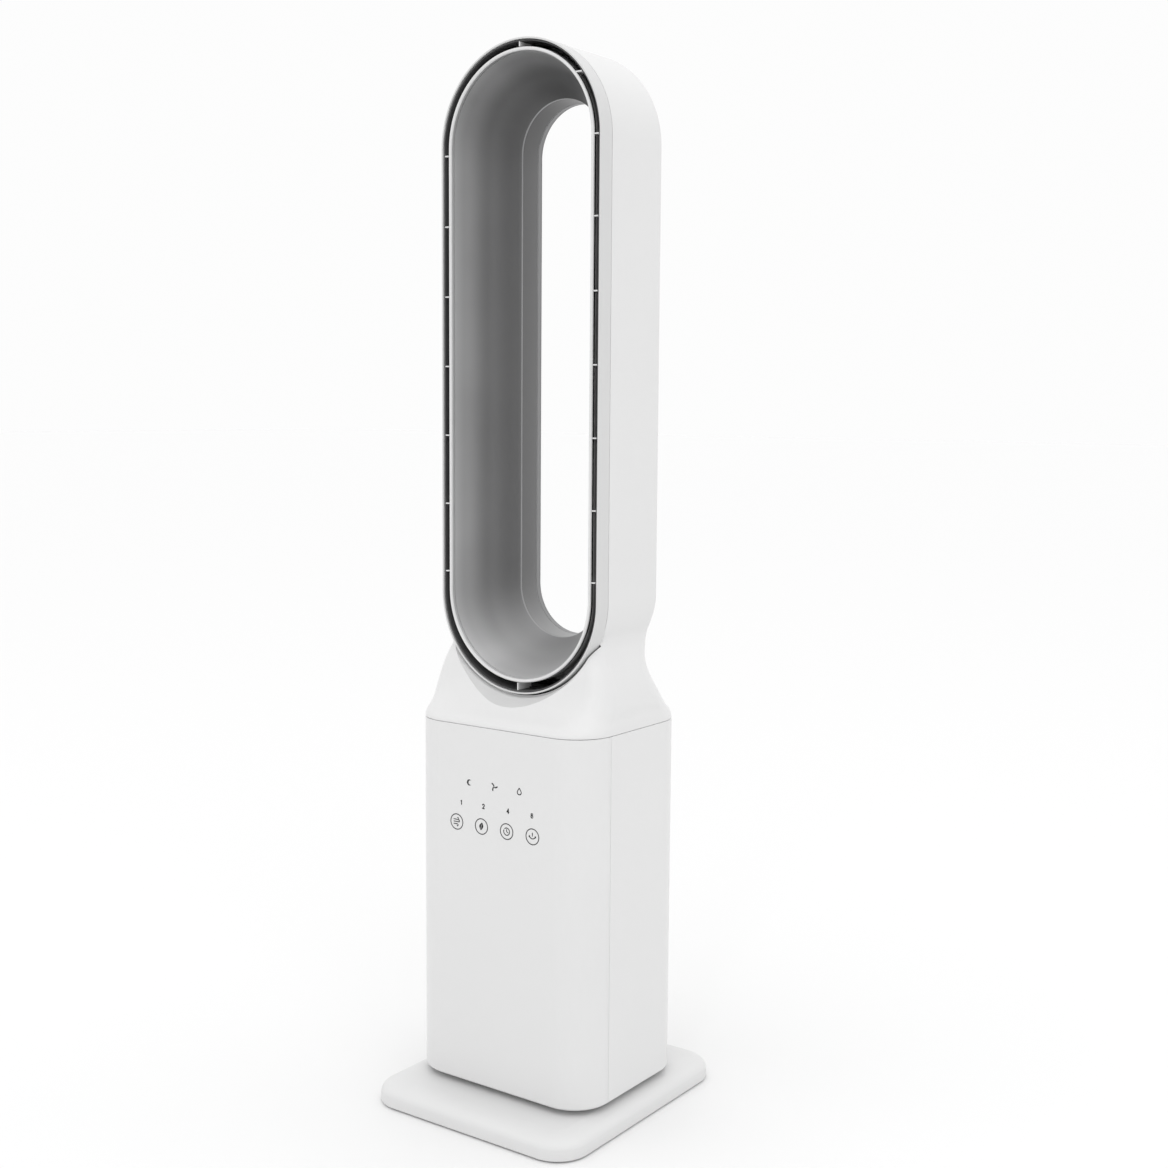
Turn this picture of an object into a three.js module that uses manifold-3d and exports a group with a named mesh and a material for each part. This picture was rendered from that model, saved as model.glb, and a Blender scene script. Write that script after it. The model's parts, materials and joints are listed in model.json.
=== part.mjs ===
// Bladeless tower fan: rectangular blower body on a swivel base, carrying a tall
// stadium-shaped air loop. Millimetres, +Z up, front face towards -Y.
// Origin: middle of the four feet's floor plane, on the swivel axis.
import * as THREE from 'three';
import { mergeVertices } from 'three/addons/utils/BufferGeometryUtils.js';
import Module from 'manifold-3d';

const wasm = await Module();
wasm.setup();

// ---------------------------------------------------------------- driving dimensions
const TOTAL_H = 960;          // top of the loop above the floor
const GAP = 0.3;              // running / assembly gap between neighbouring pieces

// base
const PLATE_W = 228.8, PLATE_D = 251, PLATE_R = 31.5;
const FOOT_H = 2.9, FOOT_R = 9;
const PLATE_Z0 = 1.2, PLATE_Z1 = 20.5;
const PLATE_EDGE = [[0, 8], [0.5, 11.5], [1.6, 13.8], [3.2, 15.5], [5.6, 17.0], [9, 18.5], [14, 19.7], [21, 20.5]]; // inset, height: crowned rim

// body
const BODY_W = 201.4, BODY_D = 160.7, BODY_R = 37;
const BODY_Z0 = 26.8, BODY_Z1 = 358.6;
const WALL = 2.2;
const SEAM_Y = -43.6;         // side seam between front and rear cover
const TRAY_Z0 = 24.9;

// loop
const LOOP_R = 88;            // outer half width of the stadium
const LOOP_FRONT = -47.65, LOOP_BACK = 47.65;
const BAND_Y = -31.2;         // back edge of the front ring
const ZH = TOTAL_H - LOOP_R;  // centre of the upper arc
const ZL = 476.5;             // centre of the lower arc of the lip and duct
const ZLO = 474.0;            // centre of the lower arc of the shell, front ring and slot liner
const RING_T = 1.7;           // front ring wall
const SLOT = 6.4;             // air slot width
const LIP_R = LOOP_R - RING_T - SLOT;   // outer face of the inner lip
const REAR_R = 45.4;          // rear opening half width
const RIB_Z0 = 866.3, RIB_DZ = 62.35, RIB_N = 7;

// swing drive (module 2 spur gears, stub teeth)
const MODULE = 2, SUN_N = 40, PINION_N = 16;
const SWING_CD = MODULE * (SUN_N + PINION_N) / 2 + 0.15;

// blower
const HOUSING_R = 66, IMP_R = 57;

const NA = 16;                // segments in half a turn of the loop
const NC = 5;                 // segments in a quarter corner

// ---------------------------------------------------------------- materials
const mat = (color, roughness, metalness = 0) => new THREE.MeshStandardMaterial({ color, roughness, metalness });
const white = () => mat(0xf2f2f2, 0.32);
const whiteSatin = () => mat(0xececec, 0.5);
const greyPlastic = () => mat(0x6e7073, 0.6);
const blackPlastic = () => mat(0x1c1d1f, 0.6);
const rubberMat = () => mat(0x222222, 0.9);
const steel = () => mat(0xb9bcc0, 0.35, 1);
const pcb = () => mat(0x1f5a34, 0.55);
const silverGrey = () => mat(0x8d8e90, 0.42, 0.15);

// ---------------------------------------------------------------- geometry helpers
function clean(geom) {
  let g = geom.clone();
  for (const name of Object.keys(g.attributes)) if (name !== 'position') g.deleteAttribute(name);
  g = mergeVertices(g, 1e-4);
  const p = g.attributes.position, src = g.index.array, keep = [];
  for (let i = 0; i < src.length; i += 3) {
    const [a, b, c] = [src[i], src[i + 1], src[i + 2]];
    if (a !== b && b !== c && a !== c) keep.push(a, b, c);
  }
  let vol = 0;
  const A = new THREE.Vector3(), B = new THREE.Vector3(), C = new THREE.Vector3();
  for (let i = 0; i < keep.length; i += 3) {
    A.fromBufferAttribute(p, keep[i]); B.fromBufferAttribute(p, keep[i + 1]); C.fromBufferAttribute(p, keep[i + 2]);
    vol += A.dot(B.cross(C));
  }
  if (vol < 0) for (let i = 0; i < keep.length; i += 3) [keep[i], keep[i + 1]] = [keep[i + 1], keep[i]];
  g.setIndex(keep);
  return g;
}
function solid(geom) {
  const g = clean(geom);
  return new wasm.Manifold(new wasm.Mesh({
    numProp: 3,
    vertProperties: new Float32Array(g.attributes.position.array),
    triVerts: new Uint32Array(g.index.array),
  }));
}
function geomOf(man) {
  const m = man.getMesh();
  const g = new THREE.BufferGeometry();
  const n = m.vertProperties.length / m.numProp, pos = new Float32Array(n * 3);
  for (let i = 0; i < n; i++) for (let k = 0; k < 3; k++) pos[3 * i + k] = m.vertProperties[i * m.numProp + k];
  g.setAttribute('position', new THREE.BufferAttribute(pos, 3));
  g.setIndex(Array.from(m.triVerts));
  return g;
}
const cut = (a, ...bs) => bs.reduce((s, b) => s.subtract(b), a);
const join = (a, ...bs) => bs.reduce((s, b) => s.add(b), a);

// solid between a stack of closed loops with equal point counts
function loft(loops) {
  const K = loops[0].length, pos = [], idx = [];
  for (const L of loops) for (const q of L) pos.push(...q);
  for (let s = 0; s + 1 < loops.length; s++) for (let i = 0; i < K; i++) {
    const j = (i + 1) % K, a = s * K + i, b = s * K + j, c = a + K, d = b + K;
    idx.push(a, b, d, a, d, c);
  }
  const last = (loops.length - 1) * K;
  for (let i = 1; i + 1 < K; i++) { idx.push(0, i + 1, i); idx.push(last, last + i, last + i + 1); }
  const g = new THREE.BufferGeometry();
  g.setAttribute('position', new THREE.BufferAttribute(new Float32Array(pos), 3));
  g.setIndex(idx);
  return g;
}
// closed tube of a closed profile carried round a closed run of stations
function sweepRing(stations) {
  const S = stations.length, K = stations[0].length, pos = [], idx = [];
  for (const L of stations) for (const q of L) pos.push(...q);
  for (let s = 0; s < S; s++) for (let i = 0; i < K; i++) {
    const t = (s + 1) % S, j = (i + 1) % K;
    const a = s * K + i, b = s * K + j, c = t * K + i, d = t * K + j;
    idx.push(a, b, d, a, d, c);
  }
  const g = new THREE.BufferGeometry();
  g.setAttribute('position', new THREE.BufferAttribute(new Float32Array(pos), 3));
  g.setIndex(idx);
  return g;
}
// stadium in the XZ plane at depth y
function stadiumLoop(R, y, zl = ZL) {
  const out = [];
  for (let i = 0; i <= NA; i++) { const a = Math.PI * i / NA; out.push([R * Math.cos(a), y, ZH + R * Math.sin(a)]); }
  for (let i = 0; i <= NA; i++) { const a = Math.PI + Math.PI * i / NA; out.push([R * Math.cos(a), y, zl + R * Math.sin(a)]); }
  return out;
}
// prism or stepped prism along Y from [R, y] pairs
const stadiumSolid = (pairs, zl = ZL) => loft(pairs.map(([R, y]) => stadiumLoop(R, y, zl)));
// ring with a closed [R, y] profile all round the stadium
function stadiumRing(profile, zl = ZL) {
  const loops = profile.map(([R, y]) => stadiumLoop(R, y, zl));
  const stations = loops[0].map((_, i) => loops.map((L) => L[i]));
  return sweepRing(stations);
}
// rounded rectangle, separate front and rear depth and corner radius
function rrectLoop(w, yf, yr, r, z, n = NC, rb = r) {
  const out = [];
  const corners = [[w - rb, yr - rb, 0, rb], [-w + rb, yr - rb, 1, rb], [-w + r, -yf + r, 2, r], [w - r, -yf + r, 3, r]];
  for (const [cx, cy, q, rq] of corners) for (let i = 0; i <= n; i++) {
    const a = Math.PI / 2 * (q + i / n);
    out.push([cx + rq * Math.cos(a), cy + rq * Math.sin(a), z]);
  }
  return out;
}
const rrectSolid = (w, d, r, z0, z1, n = NC) => loft([rrectLoop(w, d, d, r, z0, n), rrectLoop(w, d, d, r, z1, n)]);
function polyShape(pts) { return new THREE.Shape(pts.map(([x, y]) => new THREE.Vector2(x, y))); }
function extrudeZ(shape, z0, z1) {
  const g = new THREE.ExtrudeGeometry(shape, { depth: z1 - z0, bevelEnabled: false, steps: 1, curveSegments: 12 });
  g.translate(0, 0, z0);
  return g;
}
function box(x0, x1, y0, y1, z0, z1) {
  const g = new THREE.BoxGeometry(x1 - x0, y1 - y0, z1 - z0);
  g.translate((x0 + x1) / 2, (y0 + y1) / 2, (z0 + z1) / 2);
  return g;
}
function cylZ(r, z0, z1, x = 0, y = 0, seg = 32) {
  const g = new THREE.CylinderGeometry(r, r, z1 - z0, seg);
  g.rotateX(Math.PI / 2);
  g.translate(x, y, (z0 + z1) / 2);
  return g;
}
function cylY(r, y0, y1, x = 0, z = 0, seg = 20) {
  const g = new THREE.CylinderGeometry(r, r, y1 - y0, seg);
  g.translate(x, (y0 + y1) / 2, z);
  return g;
}
// turned piece about Z from [r, z] pairs
function latheZ(profile, seg = 28, x = 0, y = 0) {
  const g = new THREE.LatheGeometry(profile.map(([r, z]) => new THREE.Vector2(r, z)), seg);
  g.rotateX(Math.PI / 2);
  g.translate(x, y, 0);
  return g;
}
const closed = (p) => [...p, p[0]];

// ---------------------------------------------------------------- the assembly
const group = new THREE.Group();
const baseGroup = new THREE.Group(), towerGroup = new THREE.Group();
group.add(baseGroup, towerGroup);
function put(parent, name, geom, material) {
  const m = new THREE.Mesh(clean(geom), material);
  m.name = name;
  parent.add(m);
  return m;
}

// ---- base plate: shallow tray moulding, crowned upper edge, open underneath
{
  const hw = PLATE_W / 2, hd = PLATE_D / 2, r = PLATE_R;
  const loops = [rrectLoop(hw - 1, hd - 1, hd - 1, r - 1, PLATE_Z0, 8), rrectLoop(hw, hd, hd, r, PLATE_Z0 + 1.2, 8)];
  for (const [o, z] of PLATE_EDGE) loops.push(rrectLoop(hw - o, hd - o, hd - o, r - o, z, 8));
  let s = solid(loft(loops));
  s = cut(s, solid(loft([rrectLoop(hw - 4, hd - 4, hd - 4, r - 4, PLATE_Z0 - 1, 8), rrectLoop(hw - 4, hd - 4, hd - 4, r - 4, 8.5, 8),
    rrectLoop(hw - 9, hd - 9, hd - 9, r - 9, 13.5, 8)])));
  put(baseGroup, 'base_plate', geomOf(s), white());
}
// ---- steel ballast in the plate
put(baseGroup, 'base_ballast', rrectSolid(94, 106, 12, 6.0, 13.1, 4), steel());
// ---- bottom cover sheet
put(baseGroup, 'base_cover', rrectSolid(PLATE_W / 2 - 4.3, PLATE_D / 2 - 4.3, PLATE_R - 4.3, 3.2, 5.6, 8), blackPlastic());
// ---- feet
const feet = [['foot_front_left', -90, -103], ['foot_front_right', 90, -103], ['foot_rear_left', -90, 103], ['foot_rear_right', 90, 103]];
for (const [n, x, y] of feet)
  put(baseGroup, n, latheZ([[0, 0], [FOOT_R - 0.8, 0], [FOOT_R, 0.8], [FOOT_R, FOOT_H], [0, FOOT_H]], 24, x, y), rubberMat());
// ---- cover screws (pan heads under the cover)
const bscr = [['base_screw_1', -60, -108], ['base_screw_2', 60, -108], ['base_screw_3', -60, 108], ['base_screw_4', 60, 108]];
for (const [n, x, y] of bscr)
  put(baseGroup, n, latheZ([[0, 1.2], [3.2, 1.4], [3.6, 2.1], [3.6, 2.9], [0, 2.9]], 16, x, y), steel());

// ---- swivel parts fixed to the base
put(baseGroup, 'base_spindle', latheZ(closed([[12, PLATE_Z1 + GAP], [40, PLATE_Z1 + GAP], [40, 23.6], [22, 23.6], [22, 31.0], [12, 31.0]]), 32), steel());
put(baseGroup, 'swivel_bearing', latheZ(closed([[50, PLATE_Z1 + GAP], [62, PLATE_Z1 + GAP], [62, 23.4], [60.5, TRAY_Z0 - GAP], [51.5, TRAY_Z0 - GAP], [50, 23.4]]), 32), greyPlastic());
put(baseGroup, 'thrust_washer', latheZ(closed([[22.5, 28.8], [38, 28.8], [38, 30.7], [22.5, 30.7]]), 32), whiteSatin());

function gearShape(N, holeR, phase, backlash = 0.22) {
  const r = MODULE * N / 2, al = 20 * Math.PI / 180, rb = r * Math.cos(al);
  const ra = r + 0.85 * MODULE, rf = r - 1.15 * MODULE;
  const inv = (a) => Math.tan(a) - a;
  const half = (rho) => Math.PI / (2 * N) - backlash / (2 * r) + inv(al) - inv(Math.acos(Math.min(1, rb / rho)));
  const rho0 = Math.max(rb, rf), pts = [];
  const steps = 1, prof = [];
  for (let i = 0; i <= steps; i++) { const rho = rho0 + (ra - rho0) * i / steps; prof.push([rho, half(rho)]); }
  for (let t = 0; t < N; t++) {
    const c = phase + 2 * Math.PI * t / N;
    const pol = (rho, a) => pts.push([rho * Math.cos(a), rho * Math.sin(a)]);
    if (rf < rho0 - 1e-6) pol(rf, c - prof[0][1]);
    for (const [rho, h] of prof) pol(rho, c - h);
    for (const [rho, h] of [...prof].reverse()) pol(rho, c + h);
    if (rf < rho0 - 1e-6) pol(rf, c + prof[0][1]);
  }
  const s = polyShape(pts);
  if (holeR > 0) {
    const h = new THREE.Path();
    h.absarc(0, 0, holeR, 0, Math.PI * 2, true);
    s.holes.push(h);
  }
  return s;
}
put(baseGroup, 'sun_gear', extrudeZ(gearShape(SUN_N, 5.2, 0), 31.3, 39.0), whiteSatin());
put(baseGroup, 'spindle_screw', latheZ([[0, 22], [4.8, 22], [4.8, 39.3], [9, 39.3], [9, 42.5], [7.8, 44.3], [0, 44.3]], 24), steel());

// ---------------------------------------------------------------- tower
const hw = BODY_W / 2, hd = BODY_D / 2;
// bottom tray: closes the body, carries the swivel hub
{
  let s = solid(rrectSolid(hw - 2.5, hd - 2.5, BODY_R - 2.5, TRAY_Z0, 34));
  s = cut(s, solid(rrectSolid(hw - 4.7, hd - 4.7, BODY_R - 4.7, 28.5, 40)), solid(cylZ(22.4, 20, 40, 0, 0, 32)));
  put(towerGroup, 'bottom_tray', geomOf(s), white());
}
// outline of the body, cut at the side seam
function coverRing(front) {
  const o = rrectSolid(hw, hd, BODY_R, BODY_Z0, BODY_Z1, 8), i = rrectSolid(hw - WALL, hd - WALL, BODY_R - WALL, BODY_Z0 - 5, BODY_Z1 + 5, 8);
  const ring = cut(solid(o), solid(i));
  return front ? cut(ring, solid(box(-150, 150, SEAM_Y - GAP / 2, 150, 0, 500))) : cut(ring, solid(box(-150, 150, -150, SEAM_Y + GAP / 2, 0, 500)));
}
// front cover: plain face wrapping both front corners, with four screw bosses behind it
{
  let s = coverRing(true);
  for (const [x, z] of [[-80, 76], [80, 76], [-80, 345], [80, 345]]) {
    const boss = cut(solid(cylY(4.5, -70.2, -52, x, z)), solid(cylY(1.6, -66, -40, x, z, 12)));
    s = join(s, boss, solid(box(x - 1.2, x + 1.2, -76.5, -66.5, z - 4, z + 4)));
  }
  put(towerGroup, 'front_cover', geomOf(s), white());
}
// rear cover with the intake window, cord hole and screw holes
const GR_X = 60, GR_Z0 = 84, GR_Z1 = 322;
const RSCR = [[-52, 345], [52, 345], [-52, 60], [52, 60]];
const CORD_Z = 48;
{
  let s = cut(coverRing(false), solid(box(-GR_X, GR_X, 60, 100, GR_Z0, GR_Z1)), solid(cylY(7.3, 60, 100, 0, CORD_Z, 24)));
  for (const [x, z] of RSCR) s = cut(s, solid(cylY(2, 60, 100, x, z, 12)));
  // shallow ledge frame that the intake grille seats on
  const frame = cut(solid(box(-GR_X - 4, GR_X + 4, hd - WALL - 2.2, hd - WALL + 0.5, GR_Z0 - 4, GR_Z1 + 4)), solid(box(-GR_X + 3, GR_X - 3, 60, 100, GR_Z0 + 3, GR_Z1 - 3)),
    solid(box(-GR_X, GR_X, hd - WALL - 0.01, 100, GR_Z0, GR_Z1)));
  s = join(s, frame);
  put(towerGroup, 'rear_cover', geomOf(s), white());
}
RSCR.forEach(([x, z], i) => {
  const g = latheZ([[0, 0], [1.6, 0], [1.6, 12], [3.6, 12], [3.4, 13.2], [2.4, 13.9], [0, 13.9]], 16);
  g.rotateX(-Math.PI / 2); // axis to +Y
  g.translate(x, hd + GAP - 12, z);
  put(towerGroup, `rear_screw_${i + 1}`, g, steel());
});
// cord bushing in the rear cover, bore open right through
{
  const g = latheZ(closed([[3.7, 76], [9, 76], [9, hd - WALL - GAP], [7, hd - WALL - GAP], [7, hd + GAP], [9.2, hd + GAP], [8.6, hd + 2.2], [4.4, hd + 3.2], [3.7, hd + 3.2]]), 24);
  g.rotateX(-Math.PI / 2);
  g.translate(0, 0, CORD_Z);
  put(towerGroup, 'cord_bushing', g, rubberMat());
}

// ---- shoulder and loop shell: one moulding
const SHOULDER = [ // z, half width, front depth, rear depth, front and rear corner radius
  [BODY_Z1 + GAP, 100.7, 80.35, 80.35, 37, 37], [367, 100.3, 75.6, 78.0, 35.5, 38], [372, 99.8, 69.0, 73.6, 32.5, 40],
  [379, 100.0, 62.0, 66.6, 28.5, 40], [386, 99.2, 57.2, 60.2, 24.5, 37], [394, 97.8, 53.3, 54.0, 21.5, 36], [403, 95.3, 50.4, 49.6, 19, 35.5],
  [412, 91.8, 48.2, 47.9, 17, 34], [421, 87.8, 45.3, 47.5, 15.5, 28.5], [430, 84.2, 40.6, 47.4, 14, 20], [439, 80.3, 33.8, 47.3, 12.5, 12.5], [446, 76.2, 31.0, 47.2, 12, 10]];
const POCKET_R = LOOP_R + 1.5;   // pocket round the foot of the front ring
function coneLoop(R, y) { // full circle about the lower arc's centre
  const out = [];
  for (let i = 0; i < 2 * NA; i++) { const a = Math.PI * i / NA; out.push([R * Math.cos(a), y, ZLO + R * Math.sin(a)]); }
  return out;
}
const SCOOP_Y = -32, SCOOP_K = 0.24;   // scoop below the ring: shallow cone opening forwards from the pocket's back
const scoop = (o) => loft([coneLoop(POCKET_R + o + SCOOP_K * 74.5, SCOOP_Y - 74.5), coneLoop(POCKET_R + o, SCOOP_Y)]);
{
  const outer = solid(loft(SHOULDER.map(([z, w, f, b, r, rb]) => rrectLoop(w, f, b, r, z, NC, rb))));
  const ro = [[LOOP_R, BAND_Y + GAP / 2], [LOOP_R, LOOP_BACK - 4], [LOOP_R - 0.3, LOOP_BACK - 2.5], [LOOP_R - 1.2, LOOP_BACK - 1.2], [LOOP_R - 2.5, LOOP_BACK - 0.3], [LOOP_R - 4, LOOP_BACK]];
  const loopOuter = solid(stadiumSolid(ro, ZLO));
  let s = join(outer, loopOuter);
  s = cut(s, solid(stadiumSolid([[POCKET_R, -120], [POCKET_R, BAND_Y + GAP / 2]], ZLO)));
  s = cut(s, solid(scoop(0.3)));
  // shoulder cavity, kept off the loop wall, the pocket wall and the scoop
  let cav = solid(loft(SHOULDER.slice(0, 10).map(([z, w, f, b, r, rb], i) => rrectLoop(w - WALL, f - WALL, b - WALL, r - WALL, i === 0 ? z - 5 : (i === 9 ? z - 2 : z), NC, rb - WALL))));
  cav = cut(cav, solid(stadiumSolid([[LOOP_R, -120], [LOOP_R, 120]], ZLO)), solid(stadiumSolid([[POCKET_R + 2, -120], [POCKET_R + 2, BAND_Y + 2.2]], ZLO)), solid(scoop(2.9)));
  s = cut(s, cav);
  // air channel inside the loop, rear window, air inlet from the shoulder
  s = cut(s, solid(stadiumSolid([[LOOP_R - 2, -60], [LOOP_R - 2, LOOP_BACK - 8], [LOOP_R - 3.6, LOOP_BACK - 4], [LOOP_R - 8, LOOP_BACK - 2]], ZLO)));
  s = cut(s, solid(stadiumSolid([[REAR_R + 4, 40], [REAR_R + 4, 60]])));
  s = cut(s, solid(box(-47, 47, -24, 34, 380, 412)));
  put(towerGroup, 'loop_shell', geomOf(s), white());
}
// ---- front ring: thin band round the slot
put(towerGroup, 'front_ring', stadiumRing([[LOOP_R, BAND_Y - GAP / 2], [LOOP_R, LOOP_FRONT + 0.6], [LOOP_R - 0.5, LOOP_FRONT], [LOOP_R - RING_T + 0.4, LOOP_FRONT],
  [LOOP_R - RING_T, LOOP_FRONT + 0.4], [LOOP_R - RING_T, BAND_Y - GAP / 2]], ZLO), white());
// ---- dark liner on the outer wall of the slot and channel
const LINER_R = LOOP_R - 2 - GAP;
put(towerGroup, 'slot_liner', stadiumRing([[LINER_R, -46.4], [LINER_R, -8], [LINER_R - 0.9, -8], [LINER_R - 0.9, -46.4]], ZLO), blackPlastic());
// ---- rib ring: thin hoop inside the liner with the ribs that bridge the slot
const RIB_R = LINER_R - 1.2;
{
  let s = solid(stadiumRing([[RIB_R, -30], [RIB_R, -26], [RIB_R - 0.9, -26], [RIB_R - 0.9, -30]], ZLO));
  const r0 = LIP_R + 0.35, r1 = RIB_R - 0.1, rib = (x0, x1, z0, z1) => solid(box(x0, x1, -46.6, -27, z0, z1));
  for (let i = 0; i < RIB_N; i++) {
    const z = RIB_Z0 - i * RIB_DZ, zr = i === 0 ? z + 5.5 : z;
    s = join(s, rib(-r1, -r0, z - 0.6, z + 0.6), rib(r0, r1, zr - 0.6, zr + 0.6));
  }
  s = join(s, rib(-0.6, 0.6, ZH + r0, ZH + r1), rib(-0.6, 0.6, ZLO - r1, ZL - r0));
  const g = box(r0, r1, -46.6, -27, -0.6, 0.6), a = 45 * Math.PI / 180;
  g.rotateY(-a); g.translate(0, 0, ZH);
  s = join(s, solid(g));
  put(towerGroup, 'slot_rib_ring', geomOf(s), whiteSatin());
}
// ---- lip: rounded bead in front of the duct
put(towerGroup, 'lip_ring', stadiumRing([[LIP_R, -43.5], [LIP_R, -45.4], [LIP_R - 0.7, -46.9], [LIP_R - 1.9, -47.5], [LIP_R - 3.0, -46.9], [LIP_R - 3.6, -45.4], [LIP_R - 3.8, -43.5]]), white());
// ---- inner duct: flare narrowing to the straight rear throat
put(towerGroup, 'inner_duct', stadiumRing([
  [LIP_R, -43.2], [LIP_R, -34], [57.2, 11.6], [47.8, 23.5], [47.8, 40.6],
  [REAR_R, 40.6], [REAR_R, 18.6], [46.2, 16.4], [51.8, 9.6], [58.0, 0], [64.4, -11], [70.0, -24], [74.0, -36], [76.0, -43.2]]), silverGrey());
// ---- rear trim ring round the rear opening
put(towerGroup, 'rear_ring', stadiumRing([[REAR_R, 40.9], [REAR_R + 3.7, 40.9], [REAR_R + 3.7, 47.2], [REAR_R + 0.6, 47.2], [REAR_R, 46.6]]), silverGrey());

// ---- decks
{
  const deck = (z0, z1, holes) => cut(solid(rrectSolid(hw - WALL - GAP, hd - WALL - GAP, BODY_R - WALL - GAP, z0, z1)), ...holes.map(solid));
  const corners = [box(-110, -70, -90, -48, 50, 130), box(70, 110, -90, -48, 50, 130), box(-66, 66, 69.5, 90, 50, 130)];
  put(towerGroup, 'chassis_deck', geomOf(deck(64, 66.5, [cylZ(13, 60, 70), ...corners])), greyPlastic());
  put(towerGroup, 'blower_deck', geomOf(deck(118, 120.5, [cylZ(40, 110, 130, 0, 0, 40), ...corners])), greyPlastic());
}
// ---- blower housing: turned shell standing on the blower deck
put(towerGroup, 'blower_housing', latheZ(closed([[42, 120.8], [HOUSING_R, 120.8], [HOUSING_R, 172], [HOUSING_R - 2, 172], [HOUSING_R - 2, 128], [60, 123], [42, 123]]), 32), greyPlastic());
// ---- inlet bell, hanging through the deck into the impeller eye
put(towerGroup, 'inlet_bell', latheZ(closed([[39.6, 112], [39.7, 119], [38.4, 127], [36.6, 127], [37.4, 119], [37.6, 113.4], [34.5, 112.2], [36, 111]]), 28), blackPlastic());
// ---- diffuser: hub sleeve, seven vanes, outer ring
{
  let s = solid(latheZ(closed([[HOUSING_R, 172.3], [HOUSING_R, 205], [HOUSING_R - 2, 205], [HOUSING_R - 2, 172.3]]), 32));
  s = join(s, solid(latheZ(closed([[33, 176], [35, 174], [35, 204], [33, 204]]), 32)));
  for (let i = 0; i < 7; i++) {
    const g = box(34.2, HOUSING_R - 1.2, -0.9, 0.9, 177, 203);
    g.rotateZ(2 * Math.PI * i / 7 + 0.2);
    s = join(s, solid(g));
  }
  put(towerGroup, 'diffuser', geomOf(s), greyPlastic());
}
// ---- motor: outer can held in the diffuser hub, bored for the shaft
put(towerGroup, 'motor_stator', latheZ(closed([[4.0, 178], [30, 178], [32.7, 180], [32.7, 202], [29, 207], [4.0, 207]]), 28), steel());
// ---- riser duct from the diffuser to the loop inlet
{
  const ring = (R, z) => rrectLoop(R, R, R, R - 0.01, z);
  const top = (o, z) => rrectLoop(50 + o, 26 + o, 36 + o, 8 + o, z);
  const mid = (o, z) => rrectLoop(60 + o, 48 + o, 54 + o, 36 + o, z);
  const s = cut(solid(loft([ring(HOUSING_R, 205.3), ring(HOUSING_R, 225), mid(0, 300), top(0, 372), top(0, 385.4)])),
    solid(loft([ring(HOUSING_R - 2, 200), ring(HOUSING_R - 2, 225), mid(-2, 300), top(-2, 372), top(-2, 395)])));
  put(towerGroup, 'riser_duct', geomOf(s), greyPlastic());
}
// ---- impeller: hub disc above, shroud ring below, seven backward-curved blades
const impellerGroup = new THREE.Group();
towerGroup.add(impellerGroup);
{
  let s = solid(latheZ(closed([[3.4, 136], [9, 136], [14, 152], [30, 163], [IMP_R, 166], [IMP_R, 168], [28, 166.5], [3.4, 168]]), 28));
  s = join(s, solid(latheZ(closed([[42, 129.5], [48, 131], [IMP_R, 138], [IMP_R, 139.6], [47, 132.8], [42, 131.3]]), 28)));
  for (let i = 0; i < 7; i++) {
    const a0 = 2 * Math.PI * i / 7, p = [], q = [];
    for (let k = 0; k <= 3; k++) {
      const t = k / 3, r = 30 + (IMP_R - 0.6 - 30) * t, a = a0 - 0.75 * t * t - 0.25 * t;
      p.push([r * Math.cos(a), r * Math.sin(a)]);
      q.push([r * Math.cos(a + 1.5 / r), r * Math.sin(a + 1.5 / r)]);
    }
    s = join(s, cut(solid(extrudeZ(polyShape([...p, ...q.reverse()]), 131, 166.2)),
      solid(latheZ(closed([[42, 120], [70, 120], [70, 138.2], [IMP_R, 138.2], [48, 131.2], [42, 130.6]]), 28)),
      solid(latheZ([[0, 120], [41.5, 120], [41.5, 131], [36, 140], [0, 140]], 28))));
  }
  put(impellerGroup, 'impeller', geomOf(s), whiteSatin());
}
put(impellerGroup, 'motor_shaft', latheZ([[0, 132], [5.5, 132], [6, 135.6], [3.0, 135.6], [3.0, 204], [0, 204]], 24), steel());

// ---- swing drive: pinion on the geared motor, running round the fixed sun gear
const pinionGroup = new THREE.Group();
towerGroup.add(pinionGroup);
{
  let s = solid(extrudeZ(gearShape(PINION_N, 0, Math.PI / PINION_N), 31.3, 39.0));
  s = join(s, solid(cylZ(8, 38.5, 41, 0, 0, 24)), solid(cylZ(3.4, 40.5, 56, 0, 0, 20)));
  const g = geomOf(s);
  g.translate(SWING_CD, 0, 0);
  put(pinionGroup, 'swing_pinion', g, whiteSatin());
}
{
  let s = solid(cylZ(25, 42.5, 60, SWING_CD, 0, 36));
  s = join(s, solid(box(SWING_CD - 4, SWING_CD + 4, -33, 33, 59, 60)), solid(box(SWING_CD - 8, SWING_CD + 8, 22, 31, 46, 59.5)));
  s = cut(s, solid(cylZ(3.8, 40, 57, SWING_CD, 0, 24)));
  put(towerGroup, 'swing_motor', geomOf(s), steel());
}
// spacer posts that hang the geared motor from the chassis deck
[[SWING_CD, -29], [SWING_CD, 29]].forEach(([x, y], i) =>
  put(towerGroup, `motor_post_${i + 1}`, latheZ(closed([[1.7, 60.3], [3.8, 60.3], [3.8, 63.7], [1.7, 63.7]]), 16, x, y), steel()));

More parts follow.
